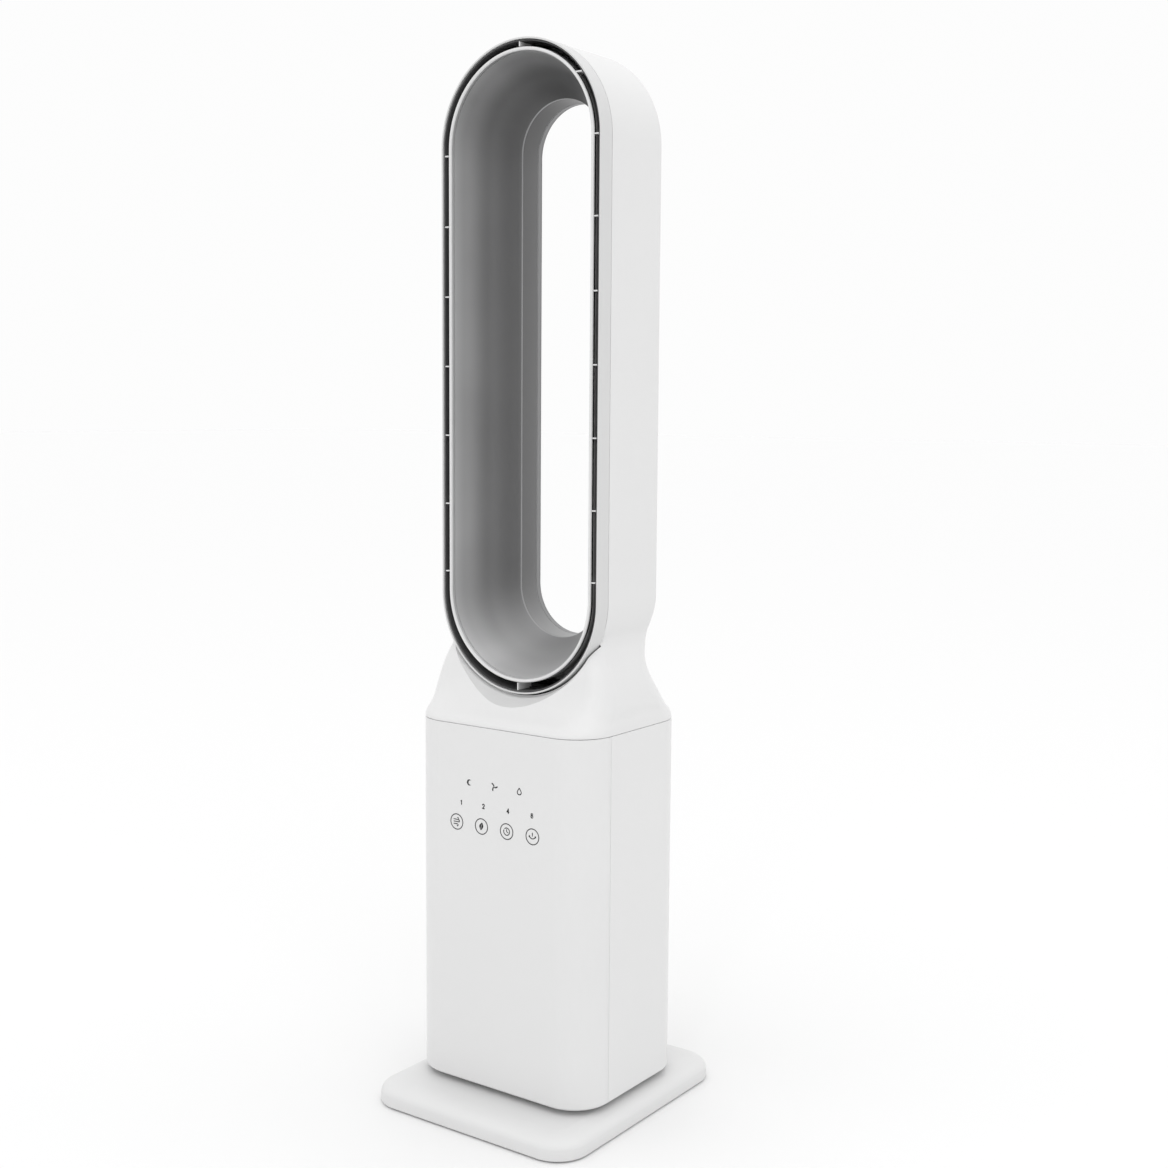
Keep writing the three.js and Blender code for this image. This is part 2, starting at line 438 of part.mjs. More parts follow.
// ---- electronics
{
  let s = solid(box(-50, 50, -61.6, -60, 68, 115));
  s = join(s, solid(box(-40, -18, -60.5, -42, 74, 94)), solid(cylY(7, -60.5, -40, 2, 84)), solid(cylY(5, -60.5, -46, 20, 82)),
    solid(box(-8, 14, -60.5, -56.5, 98, 110)), solid(box(26, 46, -60.5, -50, 74, 88)), solid(box(26, 44, -60.5, -53, 98, 108)), solid(box(-46, -26, -60.5, -54, 100, 110)));
  put(towerGroup, 'main_board', geomOf(s), pcb());
}
put(towerGroup, 'touch_board', box(-58, 58, -75.6, -74.0, 258, 338), pcb());
const KEY_X = [-43.2, -14.4, 14.4, 43.2], KEY_Z = 268.4;
KEY_X.forEach((x, i) => {
  const g = latheZ(closed([[4.2, -77.9], [6.2, -77.9], [6.2, -75.9], [4.2, -75.9]]), 20);
  g.rotateX(-Math.PI / 2); g.translate(x, 0, KEY_Z);
  put(towerGroup, `touch_spring_${i + 1}`, g, steel());
});
put(towerGroup, 'indicator_guide', box(-36, 36, -77.9, -75.9, 302, 311), mat(0xf4f4f4, 0.2));
put(towerGroup, 'ir_receiver', box(28, 34, -77.9, -75.9, 322, 330), blackPlastic());

// ---- intake grille and filter (pull off to the rear)
const grilleGroup = new THREE.Group();
towerGroup.add(grilleGroup);
{
  const gx = GR_X - GAP, z0 = GR_Z0 + GAP, z1 = GR_Z1 - GAP;
  let s = solid(box(-gx, gx, hd - WALL + 0.3, hd, z0, z1));
  const rows = 18, pitch = (z1 - z0 - 16) / rows;
  for (const [a, b] of [[-54, -1.6], [1.6, 54]]) {
    const bars = [];
    for (let i = 0; i < rows; i++) {
      const zc = z0 + 8 + pitch * (i + 0.5);
      bars.push(solid(box(a, b, 70, 90, zc - 4.2, zc + 4.2)));
    }
    s = cut(s, ...bars);
  }
  put(grilleGroup, 'rear_grille', geomOf(s), white());
}
put(grilleGroup, 'air_filter', box(-GR_X + 3.4, GR_X - 3.4, hd - 10.0, hd - WALL - 0.3, GR_Z0 + 3.4, GR_Z1 - 3.4), greyPlastic());

export default group;
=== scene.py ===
import bpy, bmesh, json, math
import numpy as np
from mathutils import Matrix, Vector


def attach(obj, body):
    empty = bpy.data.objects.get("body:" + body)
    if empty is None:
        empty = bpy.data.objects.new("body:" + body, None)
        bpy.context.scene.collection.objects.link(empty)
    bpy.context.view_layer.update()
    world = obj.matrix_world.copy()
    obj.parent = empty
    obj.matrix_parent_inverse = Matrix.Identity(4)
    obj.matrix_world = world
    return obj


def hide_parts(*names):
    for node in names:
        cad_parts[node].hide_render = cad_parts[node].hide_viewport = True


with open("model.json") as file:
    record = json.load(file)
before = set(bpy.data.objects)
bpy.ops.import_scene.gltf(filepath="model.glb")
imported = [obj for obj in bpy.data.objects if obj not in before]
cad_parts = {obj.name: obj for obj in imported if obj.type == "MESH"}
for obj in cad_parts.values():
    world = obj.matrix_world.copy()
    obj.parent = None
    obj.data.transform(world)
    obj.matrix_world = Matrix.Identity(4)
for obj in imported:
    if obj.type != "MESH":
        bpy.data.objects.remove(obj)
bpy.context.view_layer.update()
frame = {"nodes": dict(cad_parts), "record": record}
NODES = frame["nodes"]
MM = 0.001

# ------------------------------------------------------------------ sizes, in millimetres, as in the CAD
PLATE_W, PLATE_D, PLATE_R, PLATE_Z0, PLATE_Z1 = 228.8, 251.0, 31.5, 1.2, 20.5
PLATE_EDGE = np.array([[0, 8], [0.5, 11.5], [1.6, 13.8], [3.2, 15.5], [5.6, 17.0], [9, 18.5], [14, 19.7], [21, 20.5]])   # inset, height
BODY_W, BODY_D, BODY_R, BODY_Z0, BODY_Z1, WALL, SEAM_Y = 201.4, 160.7, 37.0, 26.8, 358.6, 2.2, -43.6
TRAY_Z0 = 24.9
LOOP_R, LOOP_FRONT, LOOP_BACK, BAND_Y = 88.0, -47.65, 47.65, -31.2
ZH, ZL = 872.0, 476.5
ZLO = 474.0                 # lower arc of the shell, front ring and slot liner
RING_T, SLOT = 1.7, 6.4
LIP_R = LOOP_R - RING_T - SLOT
REAR_R = 45.4
RIB_Z0, RIB_DZ, RIB_N = 866.3, 62.35, 7
POCKET_R = LOOP_R + 1.5
HW, HD = BODY_W / 2, BODY_D / 2
GR_X, GR_Z0, GR_Z1 = 60.0, 84.0, 322.0
RSCR = [(-52, 345), (52, 345), (-52, 60), (52, 60)]
CORD_Z = 48.0
KEY_X, KEY_Z = [-43.2, -14.4, 14.4, 43.2], 268.4
NA = 72     # steps in half a turn of the loop
NC = 20     # steps in a quarter corner

# ------------------------------------------------------------------ camera, at the photograph's angle
az, pitch, roll = math.radians(35.600), math.radians(6.339), math.radians(0.416)
focal_px = 1597.83
cam_at = Vector((0.8753, -1.1676, 0.6439))
ca, sa, cp, sp = math.cos(az), math.sin(az), math.cos(pitch), math.sin(pitch)
look = Vector((-sa * cp, ca * cp, -sp))
right = Vector((ca, sa, 0))
up = right.cross(look)
right, up = right * math.cos(roll) + up * math.sin(roll), up * math.cos(roll) - right * math.sin(roll)
cam_data = bpy.data.cameras.new("photo_camera")
cam_data.sensor_width = 36.0
cam_data.lens = focal_px / 1168 * 36.0
cam_data.clip_start, cam_data.clip_end = 0.05, 50
camera = bpy.data.objects.new("photo_camera", cam_data)
bpy.context.scene.collection.objects.link(camera)
m = Matrix((right, up, -look)).transposed().to_4x4()
m.translation = cam_at
camera.matrix_world = m
bpy.context.scene.camera = camera


# ------------------------------------------------------------------ mesh helpers (millimetres in, metres out)
def mesh_from(name, verts, faces):
    me = bpy.data.meshes.new(name)
    me.from_pydata([tuple(float(c) * MM for c in v) for v in verts], [], [tuple(f) for f in faces])
    me.validate()
    bm = bmesh.new()
    bm.from_mesh(me)
    bmesh.ops.remove_doubles(bm, verts=bm.verts, dist=1e-7)
    bmesh.ops.recalc_face_normals(bm, faces=bm.faces)
    bm.to_mesh(me)
    bm.free()
    return me


def obj_from(name, verts, faces):
    o = bpy.data.objects.new(name, mesh_from(name, verts, faces))
    bpy.context.scene.collection.objects.link(o)
    return o


def strip(loops, closed_v=False):
    """quads between equal closed loops; closed_v joins the last loop to the first"""
    K, S, faces = len(loops[0]), len(loops), []
    for s in range(S if closed_v else S - 1):
        t = (s + 1) % S
        for i in range(K):
            j = (i + 1) % K
            faces.append((s * K + i, s * K + j, t * K + j, t * K + i))
    return [v for L in loops for v in L], faces


def loft(name, loops):
    verts, faces = strip(loops)
    K = len(loops[0])
    faces.append(tuple(range(K - 1, -1, -1)))
    faces.append(tuple(range((len(loops) - 1) * K, len(loops) * K)))
    return obj_from(name, verts, faces)


def tube(name, loops):
    verts, faces = strip(loops, True)
    return obj_from(name, verts, faces)


def stadium(R, y, zh=ZH, zl=ZL, n=NA):
    t = np.linspace(0, math.pi, n + 1)
    out = [(R * math.cos(a), y, zh + R * math.sin(a)) for a in t]
    straight = np.linspace(0, 1, 25)[1:-1]
    out += [(-R, y, zh + (zl - zh) * u) for u in straight]
    out += [(-R * math.cos(a), y, zl - R * math.sin(a)) for a in t]
    out += [(R, y, zl + (zh - zl) * u) for u in straight]
    return out


def stadium_ring(name, profile, n=NA, zl=ZL):
    return tube(name, [stadium(R, y, zl=zl, n=n) for R, y in profile])


def stadium_solid(name, pairs, n=NA, zl=ZL):
    return loft(name, [stadium(R, y, zl=zl, n=n) for R, y in pairs])


def arc(cx, cy, r, a0, a1, n):
    return [(cx + r * math.cos(math.radians(a0 + (a1 - a0) * i / n)), cy + r * math.sin(math.radians(a0 + (a1 - a0) * i / n))) for i in range(n + 1)]


def rrect(w, yf, yr, rf, rr, z, n=NC):
    """rounded rectangle, half width w, from y = -yf to yr, front and rear corner radii"""
    out = []
    for cx, cy, r, q in ((w - rr, yr - rr, rr, 0), (-w + rr, yr - rr, rr, 1), (-w + rf, -yf + rf, rf, 2), (w - rf, -yf + rf, rf, 3)):
        out += [(x, y, z) for x, y in arc(cx, cy, r, 90 * q, 90 * q + 90, n)]
    return out


def lathe(name, profile, seg=48, at=(0, 0, 0), axis="Z"):
    """turned piece from (r, h) pairs; r = 0 at both ends, or a closed outline"""
    loops = []
    for r, h in profile:
        loops.append([(r * math.cos(2 * math.pi * i / seg), r * math.sin(2 * math.pi * i / seg), h) for i in range(seg)])
    if profile[0][0] == 0 or profile[-1][0] == 0:
        verts, faces = strip(loops)
    else:
        verts, faces = strip(loops, True)
    if axis == "Y":
        verts = [(x, z, y) for x, y, z in verts]
    verts = [(x + at[0], y + at[1], z + at[2]) for x, y, z in verts]
    me = bpy.data.meshes.new(name)
    me.from_pydata([tuple(c * MM for c in v) for v in verts], [], faces)
    bm = bmesh.new()
    bm.from_mesh(me)
    bmesh.ops.remove_doubles(bm, verts=bm.verts, dist=1e-7)
    bmesh.ops.dissolve_degenerate(bm, edges=bm.edges, dist=1e-8)
    bmesh.ops.recalc_face_normals(bm, faces=bm.faces)
    bm.to_mesh(me)
    bm.free()
    o = bpy.data.objects.new(name, me)
    bpy.context.scene.collection.objects.link(o)
    return o


def box(name, x0, x1, y0, y1, z0, z1):
    v = [(x, y, z) for x in (x0, x1) for y in (y0, y1) for z in (z0, z1)]
    return obj_from(name, v, [(0, 1, 3, 2), (4, 6, 7, 5), (0, 4, 5, 1), (2, 3, 7, 6), (0, 2, 6, 4), (1, 5, 7, 3)])


def rounded_window(name, x0, x1, z0, z1, r, y0, y1, n=8):
    cx, cz, w, h = (x0 + x1) / 2, (z0 + z1) / 2, (x1 - x0) / 2, (z1 - z0) / 2
    loop = [(x + cx, z + cz) for x, z, _ in rrect(w, h, h, r, r, 0, n)]
    return loft(name, [[(x, y0, z) for x, z in loop], [(x, y1, z) for x, z in loop]])


def applied(o):
    """bakes o's modifiers into its mesh"""
    dg = bpy.context.evaluated_depsgraph_get()
    me = bpy.data.meshes.new_from_object(o.evaluated_get(dg))
    old = o.data
    o.modifiers.clear()
    o.data = me
    if isinstance(old, bpy.types.Mesh):
        bpy.data.meshes.remove(old)
    me.name = o.name
    return o


def boolean(o, *cutters, op="DIFFERENCE"):
    for c in cutters:
        mod = o.modifiers.new("b", "BOOLEAN")
        mod.operation, mod.solver, mod.object = op, "EXACT", c
        bpy.context.view_layer.update()
        applied(o)
        bpy.data.objects.remove(c)
    bm = bmesh.new()
    bm.from_mesh(o.data)
    bmesh.ops.remove_doubles(bm, verts=bm.verts, dist=2e-7)
    bmesh.ops.dissolve_degenerate(bm, edges=bm.edges, dist=1e-7)
    bm.to_mesh(o.data)
    bm.free()
    return o


def bevel(o, width, segments=2, angle=40):
    mod = o.modifiers.new("bevel", "BEVEL")
    mod.width, mod.segments, mod.limit_method, mod.angle_limit = width * MM, segments, "ANGLE", math.radians(angle)
    mod.harden_normals = False
    mod.use_clamp_overlap = True
    return applied(o)


def smooth(o, angle=30, weighted=True):
    me = o.data
    me.polygons.foreach_set("use_smooth", [True] * len(me.polygons))
    me.set_sharp_from_angle(angle=math.radians(angle))
    if weighted:
        mod = o.modifiers.new("wn", "WEIGHTED_NORMAL")
        mod.mode, mod.weight, mod.keep_sharp = "FACE_AREA", 50, True
    return o


def crisp_borders(o):
    """marks the edges between faces of different finish as sharp"""
    me = o.data
    seen = {}
    for p in me.polygons:
        for k in p.edge_keys:
            seen.setdefault(k, set()).add(p.material_index)
    at = me.attributes.get("sharp_edge") or me.attributes.new("sharp_edge", "BOOLEAN", "EDGE")
    for e in me.edges:
        if len(seen.get(tuple(sorted(e.vertices)), ())) > 1:
            at.data[e.index].value = True


def merged(name, objs):
    """several meshes as one piece"""
    verts, faces, mats = [], [], []
    for o in objs:
        base = len(verts)
        verts += [tuple(v.co) for v in o.data.vertices]
        faces += [tuple(base + i for i in p.vertices) for p in o.data.polygons]
        bpy.data.objects.remove(o)
    me = bpy.data.meshes.new(name)
    me.from_pydata(verts, [], faces)
    o = bpy.data.objects.new(name, me)
    bpy.context.scene.collection.objects.link(o)
    return o


def curve_plate(name, outlines, depth, rim=0.0, res=2):
    """flat plate in XZ from closed outlines (first the outer one, then its holes), thickness along Y, small rounded rim"""
    cu = bpy.data.curves.new(name, "CURVE")
    cu.dimensions, cu.fill_mode = "2D", "BOTH"
    cu.extrude, cu.bevel_depth, cu.bevel_resolution, cu.offset = (depth / 2 - rim) * MM, rim * MM, res, -rim * MM
    for pts in outlines:
        s = cu.splines.new("POLY")
        s.points.add(len(pts) - 1)
        for p, (x, z) in zip(s.points, pts):
            p.co = (x * MM, z * MM, 0, 1)
        s.use_cyclic_u = True
    tmp = bpy.data.objects.new(name + "_c", cu)
    bpy.context.scene.collection.objects.link(tmp)
    bpy.context.view_layer.update()
    me = bpy.data.meshes.new_from_object(tmp.evaluated_get(bpy.context.evaluated_depsgraph_get()))
    bpy.data.objects.remove(tmp)
    bpy.data.curves.remove(cu)
    me.transform(Matrix(((1, 0, 0, 0), (0, 0, -1, 0), (0, 1, 0, 0), (0, 0, 0, 1))))
    bm = bmesh.new()
    bm.from_mesh(me)
    bmesh.ops.remove_doubles(bm, verts=bm.verts, dist=1e-7)
    bmesh.ops.recalc_face_normals(bm, faces=bm.faces)
    bm.to_mesh(me)
    bm.free()
    me.name = name
    o = bpy.data.objects.new(name, me)
    bpy.context.scene.collection.objects.link(o)
    return o


def shift(o, x=0, y=0, z=0):
    o.data.transform(Matrix.Translation((x * MM, y * MM, z * MM)))
    return o


# ------------------------------------------------------------------ materials
def material(name, color, rough, metallic=0.0, coat=0.0, coat_rough=0.1, grain=1800, bump=0.05, tint=0.02, rough_var=0.06,
             broad=14, stretch=(1, 1, 1), ior=1.5, subsurface=0.0, second=None, extra=None):
    mat = bpy.data.materials.new(name)
    mat.use_nodes = True
    nt = mat.node_tree
    nt.nodes.clear()
    N, L = nt.nodes.new, nt.links.new
    out, bsdf = N("ShaderNodeOutputMaterial"), N("ShaderNodeBsdfPrincipled")
    L(bsdf.outputs[0], out.inputs[0])
    bsdf.inputs["Metallic"].default_value = metallic
    bsdf.inputs["IOR"].default_value = ior
    bsdf.inputs["Coat Weight"].default_value = coat
    bsdf.inputs["Coat Roughness"].default_value = coat_rough
    if subsurface:
        bsdf.inputs["Subsurface Weight"].default_value = subsurface
        bsdf.inputs["Subsurface Radius"].default_value = (0.002, 0.002, 0.002)
    tc, mp = N("ShaderNodeTexCoord"), N("ShaderNodeMapping")
    mp.inputs["Scale"].default_value = stretch
    L(tc.outputs["Object"], mp.inputs[0])
    slow, fine = N("ShaderNodeTexNoise"), N("ShaderNodeTexNoise")
    slow.inputs["Scale"].default_value, slow.inputs["Detail"].default_value = broad, 5
    fine.inputs["Scale"].default_value, fine.inputs["Detail"].default_value = grain, 3
    L(mp.outputs[0], slow.inputs["Vector"])
    L(mp.outputs[0], fine.inputs["Vector"])
    ramp = N("ShaderNodeValToRGB")
    c = np.array(color, float)
    d = np.array(second if second is not None else c * (1 - 2.2 * tint), float)
    ramp.color_ramp.elements[0].position, ramp.color_ramp.elements[1].position = 0.3, 0.7
    ramp.color_ramp.elements[0].color = (*d, 1)
    ramp.color_ramp.elements[1].color = (*c, 1)
    L(slow.outputs["Fac"], ramp.inputs[0])
    colour_out = ramp.outputs[0]
    speck = N("ShaderNodeMix")
    speck.data_type, speck.blend_type = "RGBA", "MULTIPLY"
    speck.inputs["Factor"].default_value = 1.0
    tone = N("ShaderNodeMapRange")
    tone.inputs["From Min"].default_value, tone.inputs["From Max"].default_value = 0.3, 0.7
    tone.inputs["To Min"].default_value, tone.inputs["To Max"].default_value = 1 - tint, 1.0
    L(fine.outputs["Fac"], tone.inputs["Value"])
    L(colour_out, speck.inputs["A"])
    L(tone.outputs[0], speck.inputs["B"])
    colour_out = speck.outputs["Result"]
    if extra:
        colour_out = extra(nt, tc, colour_out)
    L(colour_out, bsdf.inputs["Base Color"])
    rr = N("ShaderNodeMapRange")
    rr.inputs["From Min"].default_value, rr.inputs["From Max"].default_value = 0.3, 0.7
    rr.inputs["To Min"].default_value, rr.inputs["To Max"].default_value = max(0.02, rough - rough_var), rough + rough_var
    L(slow.outputs["Fac"], rr.inputs["Value"])
    L(rr.outputs[0], bsdf.inputs["Roughness"])
    bp = N("ShaderNodeBump")
    bp.inputs["Strength"].default_value, bp.inputs["Distance"].default_value = bump, 0.0004
    L(fine.outputs["Fac"], bp.inputs["Height"])
    L(bp.outputs[0], bsdf.inputs["Normal"])
    return mat


def painted_depth_shade(y0, y1, stops, painted_height_shade=None):
    """painted shade: multiplies the colour by a tone that darkens with depth into the loop and towards the top arc, and
    fades the depth darkening out near the bottom arc, which stays lighter
    """
    def f(nt, tc, col):
        N, L = nt.nodes.new, nt.links.new
        sep = N("ShaderNodeSeparateXYZ")
        L(tc.outputs["Object"], sep.inputs[0])

        def run(sock, a, b, marks, col, fade=None):
            mr, rp, mx = N("ShaderNodeMapRange"), N("ShaderNodeValToRGB"), N("ShaderNodeMix")
            mr.inputs["From Min"].default_value, mr.inputs["From Max"].default_value = a * MM, b * MM
            L(sock, mr.inputs["Value"])
            L(mr.outputs[0], rp.inputs[0])
            cr = rp.color_ramp
            cr.interpolation = "EASE"
            while len(cr.elements) < len(marks):
                cr.elements.new(0.5)
            for e, (p, v) in zip(cr.elements, marks):
                e.position = p
                e.color = (v, v, v, 1)
            mx.data_type, mx.blend_type = "RGBA", "MULTIPLY"
            mx.inputs["Factor"].default_value = 1.0
            if fade:
                fd = N("ShaderNodeMapRange")
                fd.interpolation_type = "SMOOTHSTEP"
                fd.inputs["From Min"].default_value, fd.inputs["From Max"].default_value = fade[0] * MM, fade[1] * MM
                fd.inputs["To Min"].default_value, fd.inputs["To Max"].default_value = fade[2], 1.0
                L(sep.outputs[2], fd.inputs["Value"])
                L(fd.outputs[0], mx.inputs["Factor"])
            L(col, mx.inputs["A"])
            L(rp.outputs[0], mx.inputs["B"])
            return mx.outputs["Result"]
        col = run(sep.outputs[1], y0, y1, stops, col, fade=(395, 500, 0.42))
        if painted_height_shade:
            col = run(sep.outputs[2], painted_height_shade[0], painted_height_shade[1], painted_height_shade[2], col)
        return col
    return f


WHITE = 0.715
M = {
    "shell_white": material("shell_white", (WHITE, WHITE, WHITE), 0.34, coat=0.12, coat_rough=0.18, grain=1500, bump=0.035, tint=0.006, rough_var=0.05, broad=9),
    "base_white": material("base_white", (0.69, 0.69, 0.69), 0.42, coat=0.08, coat_rough=0.25, grain=1500, bump=0.05, tint=0.008, rough_var=0.05, broad=9),
    "ring_white": material("ring_white", (0.62, 0.62, 0.62), 0.38, coat=0.1, coat_rough=0.2, grain=1500, bump=0.05, tint=0.008, rough_var=0.05, broad=9),
    # painted shade: a slightly darker, rougher copy of the shell white for the scoop below the ring
    "scoop_painted_shade": material("scoop_painted_shade", (WHITE * 0.97, WHITE * 0.97, WHITE * 0.97), 0.5, grain=1500, bump=0.06, tint=0.01),
    # painted shade: near-black for faces deep in gaps, seams and the slot
    "painted_shade_black": material("painted_shade_black", (0.014, 0.014, 0.015), 0.6, grain=1400, bump=0.1, tint=0.1),
    "white_satin": material("white_satin", (0.70, 0.70, 0.70), 0.5, grain=1500, bump=0.06, tint=0.01),
    "lip_white": material("lip_white", (0.70, 0.70, 0.70), 0.3, coat=0.15, coat_rough=0.15, grain=1500, bump=0.03, tint=0.006),
    # duct_silver's grey is darkened with painted shade: deeper into the loop and towards the top arc, less at the
    # bottom arc
    "duct_silver": material("duct_silver", (0.66, 0.66, 0.665), 0.40, metallic=0.3, grain=2200, bump=0.07, tint=0.03, rough_var=0.05, broad=11,
                            extra=painted_depth_shade(-47, 47, [(0.04, 1.0), (0.16, 0.80), (0.41, 0.42), (0.60, 0.33), (0.75, 0.35), (1.0, 0.40)],
                                             (400, 960, [(0.0, 0.84), (0.14, 0.72), (0.80, 0.68), (0.96, 0.45)]))),
    # painted highlight: a lighter grey for the duct's edges
    "duct_painted_highlight": material("duct_painted_highlight", (0.40, 0.40, 0.405), 0.35, metallic=0.1, grain=2000, bump=0.05, tint=0.02),
    "trim_grey": material("trim_grey", (0.30, 0.30, 0.305), 0.45, grain=2000, bump=0.06, tint=0.03),
    "grey_plastic": material("grey_plastic", (0.16, 0.165, 0.17), 0.58, grain=1400, bump=0.12, tint=0.05),
    "black_plastic": material("black_plastic", (0.018, 0.018, 0.02), 0.55, grain=1400, bump=0.15, tint=0.1),
    "liner_black": material("liner_black", (0.098, 0.098, 0.1), 0.5, grain=1400, bump=0.12, tint=0.1),
    "rubber": material("rubber", (0.022, 0.022, 0.022), 0.82, grain=1100, bump=0.3, tint=0.15),
    "steel": material("steel", (0.60, 0.61, 0.62), 0.32, metallic=1.0, grain=900, bump=0.06, tint=0.04, stretch=(1, 1, 6)),
    "motor_metal": material("motor_metal", (0.52, 0.53, 0.54), 0.38, metallic=1.0, grain=700, bump=0.08, tint=0.05, stretch=(1, 1, 10)),
    "circuit_board": material("circuit_board", (0.02, 0.11, 0.04), 0.35, coat=0.4, coat_rough=0.15, grain=260, bump=0.12, tint=0.1, second=(0.03, 0.15, 0.06)),
    "light_guide": material("light_guide", (0.8, 0.82, 0.84), 0.2, grain=900, bump=0.03, tint=0.02, subsurface=0.3),
    "filter_foam": material("filter_foam", (0.06, 0.065, 0.07), 0.95, grain=650, bump=0.9, tint=0.4),
    "print_ink": material("print_ink", (0.015, 0.015, 0.016), 0.5, grain=4000, bump=0.05, tint=0.15),
    "print_ring": material("print_ring", (0.035, 0.035, 0.037), 0.5, grain=4000, bump=0.05, tint=0.1),
}
BODY_OF = {n: b for b, ns in frame["record"]["behaviour"]["bodies"].items() for n in ns}
SLOT_OF = {s["node"]: s["material_slot"] for s in frame["record"]["subparts"]}
MADE = set()


def piece(o, node, mat, extra_nodes=()):
    """o stands for the CAD node and rides with its body"""
    o.name = node + "_shape"
    o.data.materials.clear()
    o.data.materials.append(M[mat])
    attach(o, BODY_OF[node])
    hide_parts(node, *extra_nodes)
    MADE.update({node, *extra_nodes})
    return o


def detail(o, name, body, mat):
    o.name = name
    o.data.materials.clear()
    o.data.materials.append(M[mat])
    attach(o, body)
    return o


def pchip(xs, ys, x):
    """smooth interpolation that doesn't overshoot"""
    h, d = np.diff(xs), np.diff(ys) / np.diff(xs)
    s = np.zeros(len(xs))
    for i in range(1, len(xs) - 1):
        if d[i - 1] * d[i] > 0:
            w1, w2 = 2 * h[i] + h[i - 1], h[i] + 2 * h[i - 1]
            s[i] = (w1 + w2) / (w1 / d[i - 1] + w2 / d[i])
    s[0], s[-1] = d[0], d[-1]
    k = int(np.clip(np.searchsorted(xs, x) - 1, 0, len(h) - 1))
    t = (x - xs[k]) / h[k]
    return (ys[k] * (1 + 2 * t) * (1 - t) ** 2 + s[k] * h[k] * t * (1 - t) ** 2 + ys[k + 1] * t * t * (3 - 2 * t) - s[k + 1] * h[k] * t * t * (1 - t))


# ------------------------------------------------------------------ base plate
def plate():
    hw, hd, r = PLATE_W / 2, PLATE_D / 2, PLATE_R
    L = []
    for o, z in ((3.2, PLATE_Z0), (1.6, PLATE_Z0 + 0.08), (0.8, PLATE_Z0 + 0.35), (0.25, PLATE_Z0 + 0.8), (0.0, PLATE_Z0 + 1.5), (0.0, 5.0)):
        L.append(rrect(hw - o, hd - o, hd - o, r - o, r - o, z, 24))
    t = np.concatenate([[0], np.cumsum(np.hypot(*np.diff(PLATE_EDGE, axis=0).T))])
    for u in np.linspace(0, t[-1], 40):
        o, z = pchip(t, PLATE_EDGE[:, 0], u), min(PLATE_Z1, pchip(t, PLATE_EDGE[:, 1], u))
        L.append(rrect(hw - o, hd - o, hd - o, r - o, r - o, z, 24))
    for o in (24, 30, 40, 55, 75):
        L.append(rrect(hw - o, hd - o, hd - o, max(3, r - o), max(3, r - o), PLATE_Z1, 24))
    # underside recess, closed with one body
    inner = [(4.0, PLATE_Z0), (4.0, 8.4), (6.5, 11.0), (9.5, 13.4)]
    J = [rrect(hw - o, hd - o, hd - o, r - o, r - o, z, 24) for o, z in reversed(inner)]
    top, bot = L[-1], J[0]
    verts, faces = strip(J + L)
    K = len(L[0])
    faces.append(tuple(range(K)))
    faces.append(tuple(range((len(J) + len(L) - 1) * K, (len(J) + len(L)) * K)))
    return obj_from("plate", verts, faces)


piece(smooth(plate()), "base_plate", "base_white")

# bottom cover sheet with a row of stiffening steps, feet, screws
hw, hd, r = PLATE_W / 2 - 4.3, PLATE_D / 2 - 4.3, PLATE_R - 4.3
cov = loft("cov", [rrect(hw - o, hd - o, hd - o, r - o, r - o, z, 16) for o, z in ((0.5, 3.2), (0.15, 3.35), (0, 3.7), (0, 5.2), (0.3, 5.6))])
cuts = [box("c", -70 + 0, 70, y - 1.5, y + 1.5, 2, 3.8) for y in (-80, -60, -40, 40, 60, 80)]
cov = boolean(cov, *cuts)
piece(smooth(cov), "base_cover", "black_plastic")
for n, x, y in (("foot_front_left", -90, -103), ("foot_front_right", 90, -103), ("foot_rear_left", -90, 103), ("foot_rear_right", 90, 103)):
    prof = [(0, 0), (3.0, 0), (3.0, 0.0), (8.2, 0.0)] + [(8.2 + 0.8 * math.sin(a), 0.8 - 0.8 * math.cos(a)) for a in np.linspace(0.2, math.pi / 2, 5)] + [(9.0, 2.4), (8.8, 2.75), (8.4, 2.9), (0, 2.9)]
    piece(smooth(lathe("f", prof, 40, (x, y, 0))), n, "rubber")


def screw(name, r, h, at, axis, flip, shank=None):
    """pan head with a cross recess; h is the head height"""
    s = -1 if flip else 1
    prof = [(0, s * h)] + [(r * 0.5, s * h * 0.98), (r * 0.75, s * h * 0.86), (r * 0.92, s * h * 0.6), (r, s * h * 0.22), (r, 0)]
    prof += [(shank[0], 0), (shank[0], -s * shank[1]), (0, -s * shank[1])] if shank else [(0, 0)]
    o = lathe(name, prof, 32, (0, 0, 0), "Z")
    arm = r * 0.62
    cuts = []
    for q in (0, 1):
        w, l = r * 0.13, arm
        x, y = (l, w) if q == 0 else (w, l)
        b = box("x", -x, x, -y, y, min(s * h * 0.35, s * (h + 1)), max(s * h * 0.35, s * (h + 1)))
        cuts.append(b)
    o = boolean(o, *cuts)
    if axis == "Y":
        o.data.transform(Matrix(((1, 0, 0, 0), (0, 0, 1, 0), (0, -1, 0, 0), (0, 0, 0, 1))))
    o.data.transform(Matrix.Translation(Vector(at) * MM))
    return smooth(o, 35)


for i, (x, y) in enumerate(((-60, -108), (60, -108), (-60, 108), (60, 108))):
    piece(screw("s", 3.6, 1.6, (x, y, 2.9), "Z", True), f"base_screw_{i + 1}", "steel")


